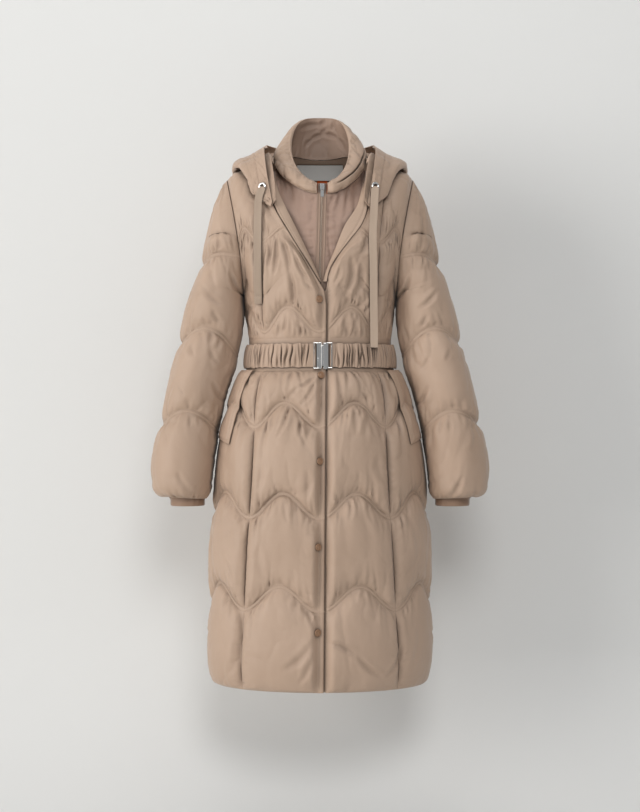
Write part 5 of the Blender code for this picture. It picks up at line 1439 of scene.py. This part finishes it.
def make_facing(side, finish):
    """The band between a front's V edge and the bib, with a stitched line near its V edge."""
    z = np.linspace(FACING_FOOT, FACING_HEAD, 89)
    sign = 1.0 if side == "left" else -1.0
    outer_x = read(V_NECK, "z", side, z) - sign * (0.0016 + 0.0035 * smooth_step(-0.135, -0.085, z))
    inner_x = read(FACING, "z", side, z)
    point = front_at(outer_x, z)[0]
    inner_y = bib_y(sign * np.minimum(np.abs(inner_x), BIB_SIDE), z)[0] - FACING_LIFT
    part = np.linspace(0.0, 1.0, 17)[None, :]
    x = mix(outer_x[:, None], inner_x[:, None], part)
    y = mix(point[:, None, 1], inner_y[:, None], part**1.5)
    base = np.stack(np.broadcast_arrays(x, y, z[:, None]), axis=-1)
    normal = facing_front(base)
    swell = 0.0010 * np.sin(math.pi * part) ** 0.5 * smooth_step(0.0, 0.05, (z - z[0])[:, None])
    swell = swell - 0.0007 * np.exp(-(((part - 0.25) / 0.07) ** 2))
    along, aside = z[:, None] + 0.0 * part, part * 0.02 + 0.0 * z[:, None]
    pucker = gathers(along, aside, 0.012, 0.010, 0.0009, 0.0028, 820)
    outer = base + normal * (FACING_WALL + np.maximum(swell + pucker, -0.0004))[..., None]
    STITCHED.append((outer[4:, 4], normal[4:, 4]))
    return wall(f"facing_{side}_cloth", outer, base - normal * FACING_WALL, finish, "facing_" + side)


# ---------------------------------------------------------------- hood
CASING = 0.024             # the drawstring's casing along the hood's face edge is this wide


def make_hood(finish, carrier):
    half = np.concatenate([np.linspace(0.0, 0.42, 81)[:-1], np.linspace(0.42, 1.0, 71)])
    section, along = np.meshgrid(np.linspace(0.0, HOOD_SECTIONS - 1.0, 113), half, indexing="ij")
    point, normal, lift = hood_point(along, section)
    left = point + normal * lift[..., None]
    left[0] = seated(left[0], normal[0], carrier, HOOD_WALL + HOOD_SEAT, 0.010)
    left = drawn_in(left)
    right = mirrored(left)[:, -2::-1]
    base = np.concatenate([left, right], axis=1)
    out = grid_normals(base)
    if out[30, 100][1] > 0.0 or out[30, 100][2] > 0.0:
        out = -out
    steps = np.linalg.norm(np.diff(base, axis=0), axis=-1)
    total = np.concatenate([np.zeros((1, base.shape[1])), np.cumsum(steps, axis=0)])
    from_face = total[-1] - total
    lengths = np.linalg.norm(np.diff(base, axis=1), axis=-1)
    lengthwise = np.concatenate([np.zeros((len(base), 1)), np.cumsum(lengths, axis=1)], axis=1)
    seam = np.abs(from_face - CASING)
    relief = gathers(lengthwise, seam, 0.022, 0.020, 0.0010, 0.0050, 900) * smooth_step(0.0, 0.004, seam)
    relief += crumple(base, 0.9, 61) - 0.0016 * np.exp(-((seam / 0.0018) ** 2))
    upper = np.concatenate([section, section[:, -2::-1]], axis=1)
    relief = relief * smooth_step(0.4, 1.6, upper) * smooth_step(0.0, 0.006, from_face)
    ends = np.minimum(lengthwise, lengthwise[:, -1:] - lengthwise)
    relief = np.clip(relief * smooth_step(0.0, 0.012, ends), -0.0048, 0.0026)
    base = base + out * relief[..., None]
    row = np.argmax(from_face < CASING + 0.0012, axis=0)
    columns = np.arange(base.shape[1])
    STITCHED.append(((base + out * HOOD_WALL)[row, columns][3:-3], out[row, columns][3:-3]))
    return wall("hood_cloth", base + out * HOOD_WALL, base - out * HOOD_WALL, finish, "hood", every=1)


# ---------------------------------------------------------------- small pieces
def make_belt(finish):
    """Gathered elastic belt: uneven upright folds between its plain ends at the buckle."""
    right_end, left_end = -0.0094, 0.0204
    u = np.linspace(waist_u(left_end), FULL_TURN + waist_u(right_end), 1401)
    part = np.linspace(0.0, 1.0, 21)
    heights = BELT_MIDDLE - 0.001 + BELT_HEIGHT * (part - 0.5)
    foot, head = body(u, BELT_FOOT), body(u, BELT_HEAD)
    base = mix(foot, head, (heights[:, None, None] - foot[:, 2:]) / (head - foot)[:, 2:])
    out = np.stack([np.gradient(foot[:, 1]), -np.gradient(foot[:, 0]), 0.0 * u], axis=-1)
    out = out / np.linalg.norm(out, axis=-1, keepdims=True)
    fold = belt_folds(u[None, :] * 0.125, part[:, None])
    ends = smooth_step(0.01, 0.14, u - u[0]) * smooth_step(0.01, 0.14, u[-1] - u)
    round_edge = np.sin(math.pi * np.clip(part, 0.02, 0.98)) ** 0.35
    swell = mix(0.0018, fold, ends[None, :]) * round_edge[:, None]
    over_bar = np.exp(-((u - u[0]) / 0.03) ** 2) + np.exp(-((u[-1] - u) / 0.03) ** 2)
    outer = base + out * (BELT_FACE + swell + 0.0022 * over_bar * round_edge[:, None])[..., None]
    wavy = 0.0014 * noise(np.stack([u * 0.125, 0 * u, 0 * u], axis=-1), 0.006, 5) * ends
    outer[..., 2] += wavy[None, :] * (2.0 * part - 1.0)[:, None]
    return wall("belt_cloth", outer, base + out * BELT_LIFT, finish, "belt")


def belt_folds(along, part):
    """Height of the belt's gathers, whose valleys wander and fade at different heights."""
    chance = np.random.default_rng(77)
    total = np.zeros(np.broadcast(along, part).shape)
    place, last = float(along.min()), float(along.max())
    while place < last:
        place += chance.uniform(0.0042, 0.0125)
        lean, sway = chance.uniform(-0.0055, 0.0055), chance.uniform(-0.0018, 0.0018)
        wide, deep = chance.uniform(0.0010, 0.0024), chance.uniform(0.45, 1.0)
        centre = place + lean * (part - 0.5) + sway * np.sin(math.pi * 2.0 * part)
        strongest, long = chance.uniform(0.0, 1.0), chance.uniform(0.3, 1.1)
        reach = 0.25 + 0.75 * np.exp(-(((part - strongest) / long) ** 2))
        total = np.minimum(total, -deep * reach * np.exp(-(((along - centre) / wide) ** 2)))
    return 0.0046 + 0.0060 * total


def turned(name, profile, centre, normal, finish, node, sides=48):
    """A turned piece: rings of (radius, height) about an axis along the normal."""
    matrix = Vector(normal).normalized().to_track_quat("Z", "Y").to_matrix()
    turn = np.linspace(0.0, 2.0 * math.pi, sides + 1)[:-1]
    rings = [np.stack([r * np.cos(turn), r * np.sin(turn), np.full(sides, h)], axis=-1) for r, h in profile]
    points = np.array(rings) @ np.array(matrix).T + np.array(centre)
    made = add_mesh(name, points, grid_faces(len(profile), sides, 0, True).tolist(), finish, node)
    made.data.set_sharp_from_angle(angle=math.radians(40))
    return made


def boxes(name, corners, finish, node=None, bevel=0.0004):
    """One mesh of boxes, each given by its two corners, with rounded edges."""
    points, faces = [], []
    for low, high in corners:
        start, low, high = len(points), np.array(low), np.array(high)
        points += [low + np.array(share) * (high - low) for share in np.ndindex(2, 2, 2)]
        for face in ((0, 1, 3, 2), (4, 6, 7, 5), (0, 4, 5, 1), (2, 3, 7, 6), (0, 2, 6, 4), (1, 5, 7, 3)):
            faces.append(tuple(start + i for i in face))
    made = add_mesh(name, np.array(points), faces, finish, node, smooth=False)
    if bevel:
        rounded = made.modifiers.new("Rounded", "BEVEL")
        rounded.width, rounded.segments = bevel, 3
    return made


def make_buckle(finish):
    """Two interlocked halves: a frame with a slot for each belt end, plates and bright bars."""
    foot, head, back = BUCKLE_FOOT - 0.0008, BUCKLE_HEAD - 0.0016, BUCKLE_BACK
    arm = 0.0021
    plates = {
        "right": (
            (-0.0130, -0.0030, foot, foot + arm, 0.0036), (-0.0130, -0.0030, head - arm, head, 0.0036),
            (-0.0130, -0.0112, foot, head, 0.0022), (-0.0066, -0.0024, foot, head, 0.0030),
            (-0.0056, -0.0040, foot + 0.004, foot + 0.022, 0.0034),
            (-0.0024, 0.0030, foot, head, 0.0044), (0.0028, 0.0068, foot + 0.006, head - 0.006, 0.0014),
        ),
        "left": (
            (0.0070, 0.0124, foot - 0.0004, head - 0.0012, 0.0046),
            (0.0122, 0.0150, foot, head - 0.001, 0.0018),
            (0.0148, 0.0168, foot + 0.001, head, 0.0032), (0.0130, 0.0250, head - arm, head, 0.0030),
            (0.0148, 0.0250, foot + 0.001, foot + 0.001 + arm, 0.0030),
            (0.0230, 0.0250, foot + 0.001, head, 0.0016),
        ),
    }
    for side, parts in plates.items():
        corners = [((x0, back - thick, z0), (x1, back - 0.0004, z1)) for x0, x1, z0, z1, thick in parts]
        boxes(f"buckle_{side}_metal", corners, finish, "buckle_" + side, 0.0005)


def make_snaps(front, finish):
    carrier = surface_of(front)
    ahead = Vector((0.0, 1.0, 0.0))
    r = SNAP_RADIUS * 0.97
    profile = ((0.0001, -0.0004), (r * 0.97, -0.0004), (r, 0.0002), (r, 0.0011), (r * 0.96, 0.0019))
    profile += ((r * 0.90, 0.0022), (r * 0.80, 0.0022), (r * 0.74, 0.0016))
    profile += ((r * 0.70, 0.0013), (r * 0.6, 0.0014))
    profile += ((r * 0.42, 0.0020), (r * 0.2, 0.0024), (0.0001, 0.0025))
    for index, (x, z) in enumerate(zip(SNAPS["x"], SNAPS["z"])):
        rim = []
        for k in range(16):
            turn = math.pi * k / 8
            start = Vector((x + r * math.cos(turn), -0.3, z + r * math.sin(turn)))
            rim.append(carrier.ray_cast(start, ahead)[0])
        centre = carrier.ray_cast(Vector((x, -0.3, z)), ahead)[0]
        normal = (rim[0] - rim[8]).cross(rim[4] - rim[12]).normalized()
        normal = normal if normal.y < 0.0 else -normal
        heights = sorted((point - centre).dot(normal) for point in rim)
        name = f"snap_{index + 1}"
        turned(name + "_cap", profile, centre + normal * (heights[12] + 0.0002), normal, finish, name)


def make_eyelets(hood, finish, hole_shade_finish):
    """Silver rings in the hood's casing, each round a dark disk of painted shade that stands for its hole.
    """
    carrier = surface_of(hood)
    ring = []
    for k in range(17):
        turn = 2.0 * math.pi * k / 16
        ring.append((0.0064 - 0.0021 * math.cos(turn), 0.0008 + 0.0014 * math.sin(turn)))
    hole = ((0.0052, 0.0006), (0.0044, 0.0004), (0.0001, 0.0003))
    made = {}
    for side, x in EYELETS.items():
        hit, normal, _, _ = carrier.ray_cast(Vector((x, -0.4, EYELET_Z)), Vector((0.0, 1.0, 0.0)))
        normal = normal if normal.y < 0.0 else -normal
        foot = hit + normal * 0.0007
        made[side] = turned(f"eyelet_{side}_ring", ring, foot, normal, finish, "eyelet_" + side)
        # A flat dark disk in each ring: painted shade for the hole.
        turned(f"eyelet_{side}_hole", hole, hit + normal * 0.0007, normal, hole_shade_finish, None)
    return made


def make_drawstring(side, route, carriers, finish):
    """A woven tape that hangs flat from its eyelet, with a turned and stitched end."""
    carrier = surface_of(*carriers)
    steps = np.linspace(0.0, 1.0, 141)
    place = np.linspace(0.0, 1.0, len(route["x"]))
    x, z = np.interp(steps, place, route["x"]), np.interp(steps, place, route["z"])
    x = smoothed(x, 6)
    narrow = mix(0.55, 1.0, smooth_step(0.0, 0.05, steps))
    columns = np.linspace(-0.5, 0.5, 9)[None, :] * TAPE_WIDTH * narrow[:, None]
    front = np.full(len(x), 1.0)
    for column in np.linspace(-0.5, 0.5, 5) * TAPE_WIDTH:
        for i in range(len(x)):
            hit = carrier.ray_cast(Vector((x[i] + column, -0.4, z[i])), Vector((0.0, 1.0, 0.0)))[0]
            front[i] = min(front[i], hit.y - 0.0008)
    spread = np.array([front[max(0, i - 3):i + 4].min() for i in range(len(front))])
    for _ in range(3000):
        spread[1:-1] = np.minimum(spread[1:-1], 0.5 * (spread[:-2] + spread[2:]))
    curl = 0.0006 * (columns / TAPE_WIDTH * 2.0) ** 2
    base = np.stack(np.broadcast_arrays(x[:, None] + columns, spread[:, None] - curl, z[:, None]), axis=-1)
    folded_end = np.where(steps > 0.955, 0.0010, 0.0) - 0.0006 * np.exp(-(((steps - 0.955) / 0.004) ** 2))
    thick = (0.0016 + folded_end)[:, None] * (1.0 - 0.25 * (np.abs(columns) > TAPE_WIDTH * 0.4))
    outer = base - np.stack([0 * thick, thick, 0 * thick], axis=-1)
    made = wall(f"drawstring_{side}_tape", outer, base, finish, "drawstring_" + side)
    return made


def make_welts(panels, finish):
    foot, _, head = WELT["z"]
    part, z = np.meshgrid(np.linspace(0.0, 1.0, 25), np.linspace(foot, head, 69))
    turn = mix(read(WELT, "z", "inner", z), read(WELT, "z", "outer", z), part)
    rim = np.minimum(np.minimum(part, 1.0 - part) * 0.045, np.minimum(z - foot, head - z))
    z = z + WELT_SLOPE * part * smooth_step(foot / 2 + head / 2, foot, z)
    u = u_at(turn, z)
    v = v_at(u, z)
    base, normal = body(u, v), body_normal(u, v)
    groove = np.exp(-(((rim - 0.0055) / 0.0011) ** 2))
    creased = crumple(base, 0.4, 91) * smooth_step(0.005, 0.012, rim)
    swell = 0.0030 * smooth_step(0.0, 0.009, rim) - 0.0010 * groove + creased
    for side, flip in (("left", lambda points: points), ("right", mirrored)):
        carrier = surface_of(panels["side_front_" + side])
        inner = seated(flip(base), flip(normal), carrier, 0.0006, 0.010)
        outer = inner + flip(normal) * (0.0020 + swell)[..., None]
        wall(f"pocket_welt_{side}_cloth", outer, inner, finish, "pocket_welt_" + side)
        STITCHED.append((outer[3:-3, 3], flip(normal)[3:-3, 3]))
        STITCHED.append((outer[3:-3, -4], flip(normal)[3:-3, -4]))


def make_zip(finish, teeth_finish):
    """The zip's tape with its woven edges and raised teeth cover, and its teeth near the slider."""
    z = np.concatenate([np.linspace(ZIP_FOOT, -0.0855, 61), np.linspace(-0.0835, ZIP_HEAD, 8)])
    centre_y = bib_y(zip_x(z), np.minimum(z, BIB_ZIP_HEAD))[0]
    y = smoothed(np.where(z > ZIP_BEND, ZIP_HEAD_Y, centre_y), 4)
    columns = np.linspace(-0.5, 0.5, 33) * ZIP_WIDTH
    across = np.abs(columns)
    form = 0.0010 * np.exp(-(((across - 0.0030) / 0.0011) ** 2))
    form = form + 0.0008 * np.exp(-(((across - 0.0083) / 0.0010) ** 2))
    form = form + 0.0005 * np.exp(-((across / 0.0006) ** 2))
    base = np.stack(np.broadcast_arrays(zip_x(z)[:, None] + columns, y[:, None], z[:, None]), axis=-1)
    front = np.array([0.0, -BIB_WALL, 0.0])
    raised = np.stack([0.0 * form, -form, 0.0 * form], axis=-1)[None]
    wall("zip_tape_cloth", base + front + raised, base - front, finish, "zip_tape", every=4)
    corners = []
    for k in range(int((z[-1] - z[0] - 0.012) / 0.0016)):
        height, side = z[0] + 0.004 + k * 0.0016, 1.0 if k % 2 else -1.0
        x, depth = zip_x(height) + side * 0.0006, np.interp(height, z, y)
        low = (x - 0.0012, depth - 0.0021, height - 0.0005)
        corners.append((low, (x + 0.0012, depth - 0.0010, height + 0.0005)))
    boxes("zip_teeth", corners, teeth_finish, None, 0.0)


def hung_inside(name, x, z, carrier, gap, finish, node):
    """A flat piece that hangs this far ahead of the inside of the back."""
    x, z = np.meshgrid(x, z)
    y = np.empty(x.shape)
    for place in np.ndindex(x.shape):
        start = Vector((x[place], BODY_MIDDLE_Y, z[place]))
        y[place] = carrier.ray_cast(start, Vector((0.0, 1.0, 0.0)))[0].y - gap
    base = np.stack([x, y, z], axis=-1)
    wall(name, base - np.array([0.0, LABEL_WALL, 0.0]), base, finish, node)


def make_labels(back, finishes):
    carrier = surface_of(back)
    label_x = np.linspace(-LABEL_HALF_WIDTH, LABEL_HALF_WIDTH, 61)
    label_z = np.linspace(LABEL_FOOT, LABEL_HEAD, 17)
    gap = 2 * LABEL_GAP + LABEL_WALL
    hung_inside("label_cloth", label_x, label_z, carrier, gap, finishes["label"], "label")
    tab_x, tab_z = np.linspace(TAB_RIGHT, TAB_LEFT, 9), np.linspace(TAB_FOOT, TAB_HEAD, 13)
    hung_inside("size_tab_cloth", tab_x, tab_z, carrier, LABEL_GAP / 2, finishes["tab"], "size_tab")


# ---------------------------------------------------------------- stage, light and camera
WALL_Y, FLOOR_Z, SWEEP = 0.32, -1.47, 0.5
SWEEP_STEPS = 12
STUDIO_FRONT, STUDIO_HEAD, STUDIO_SIDE = -5.0, 3.5, 6.0
CAMERA_PLACE = (0.0, -3.5, -0.5166)
SENSOR_MM, LENS_MM = 36.0, 73.9
# name, place, aim, diameter, power, colour
WHITE = (1.0, 1.0, 1.0)
LIGHTS = (
    ("Key", (-8.0, -4.6, 0.4), (0.0, 0.0, -0.5), 5.6, 480.0, (1.0, 0.985, 0.96)),
    ("Front", (0.3, -3.8, 1.5), (0.0, 0.0, -0.4), 1.6, 52.0, WHITE),
    ("Top", (-0.4, -0.8, 2.4), (0.0, 0.0, -0.4), 2.0, 10.0, WHITE),
    ("Back", (1.6, 3.8, 0.9), (0.0, 0.0, -0.5), 2.2, 60.0, WHITE),
)


def one_sided(finish):
    """A paint that shows on a face's front only, so that the coat can be seen from behind its wall."""
    made, tree, shader = finish
    side = tree.nodes.new("ShaderNodeNewGeometry")
    clear = tree.nodes.new("ShaderNodeBsdfTransparent")
    mixed = tree.nodes.new("ShaderNodeMixShader")
    output = tree.nodes["Material Output"]
    tree.links.new(side.outputs["Backfacing"], mixed.inputs["Fac"])
    tree.links.new(shader.outputs["BSDF"], mixed.inputs[1])
    tree.links.new(clear.outputs["BSDF"], mixed.inputs[2])
    tree.links.new(mixed.outputs["Shader"], output.inputs["Surface"])
    return made


def make_stage():
    """A pale wall that sweeps down into the floor."""
    mesh = bpy.data.meshes.new("Studio")
    profile = [(STUDIO_FRONT, FLOOR_Z), (WALL_Y - SWEEP, FLOOR_Z)]
    for k in range(1, SWEEP_STEPS + 1):
        turn = math.pi / 2 * k / SWEEP_STEPS
        rise_z = FLOOR_Z + SWEEP * (1.0 - math.cos(turn))
        profile.append((WALL_Y - SWEEP + SWEEP * math.sin(turn), rise_z))
    profile.append((WALL_Y, STUDIO_HEAD))
    points = [(x, y, z) for y, z in profile for x in (-STUDIO_SIDE, STUDIO_SIDE)]
    faces = [(2 * i, 2 * i + 1, 2 * i + 3, 2 * i + 2) for i in range(len(profile) - 1)]
    mesh.from_pydata(points, [], faces)
    mesh.shade_smooth()
    mesh.materials.append(one_sided(new_material("Studio_paint", (0.80, 0.80, 0.785), 0.9)))
    made = bpy.data.objects.new("Studio", mesh)
    bpy.context.scene.collection.objects.link(made)


def area_light(name, place, aim, size, power, colour):
    light = bpy.data.lights.new(name, "AREA")
    light.shape, light.size, light.energy, light.color = "DISK", size, power, colour
    made = bpy.data.objects.new(name, light)
    made.location = place
    made.rotation_euler = (Vector(place) - Vector(aim)).to_track_quat("Z", "Y").to_euler()
    bpy.context.scene.collection.objects.link(made)


def make_lights():
    for light in LIGHTS:
        area_light(*light)
    world = bpy.data.worlds.new("Soft_room")
    world.use_nodes = True
    world.node_tree.nodes["Background"].inputs["Color"].default_value = (0.96, 0.975, 1.0, 1.0)
    world.node_tree.nodes["Background"].inputs["Strength"].default_value = 0.30
    bpy.context.scene.world = world
    bpy.context.scene.view_settings.view_transform = "Standard"


def make_camera():
    camera = bpy.data.cameras.new("Camera")
    camera.sensor_width = SENSOR_MM
    camera.lens = LENS_MM
    made = bpy.data.objects.new("Camera", camera)
    made.location = CAMERA_PLACE
    made.rotation_euler = (math.pi / 2, 0.0, 0.0)
    bpy.context.scene.collection.objects.link(made)
    bpy.context.scene.camera = made


def main():
    finishes = make_materials()
    shell = finishes["shell"]
    make_camera()
    make_lights()
    make_stage()
    panels = make_side_panels(shell)
    panels["back"] = make_back(shell)
    panels["front_right"] = make_front_right(shell)
    panels["front_left"] = make_front_left(shell)
    stitch_body(panels)
    sleeves = make_sleeves(shell, finishes["cuff"])
    collar_piece = make_collar(shell, finishes["lining"])
    for side in ("left", "right"):
        make_bib(side, finishes["bib"])
        make_facing(side, shell)
    make_zip(finishes["zip"], finishes["teeth"])
    hood = make_hood(shell, surface_of(panels["back"], panels["front_left"], panels["front_right"]))
    belt = make_belt(shell)
    make_buckle(finishes["chrome"])
    make_snaps(panels["front_right"], finishes["snap"])
    make_welts(panels, shell)
    # The eyelets' holes get the near-black paint: painted shade.
    eyelets = make_eyelets(hood, finishes["chrome"], finishes["dark"])
    for side, route in (("left", DRAWSTRING_LEFT), ("right", DRAWSTRING_RIGHT)):
        below = [panels["front_" + side], panels["side_front_" + side], hood, belt, eyelets[side]]
        make_drawstring(side, route, below, finishes["tape"])
    make_labels(panels["back"], finishes)
    make_stitches(finishes["thread"])
    for node in ("zip_slider", "zip_pull"):
        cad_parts[node].data.materials.clear()
        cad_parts[node].data.materials.append(finishes["chrome"])


main()
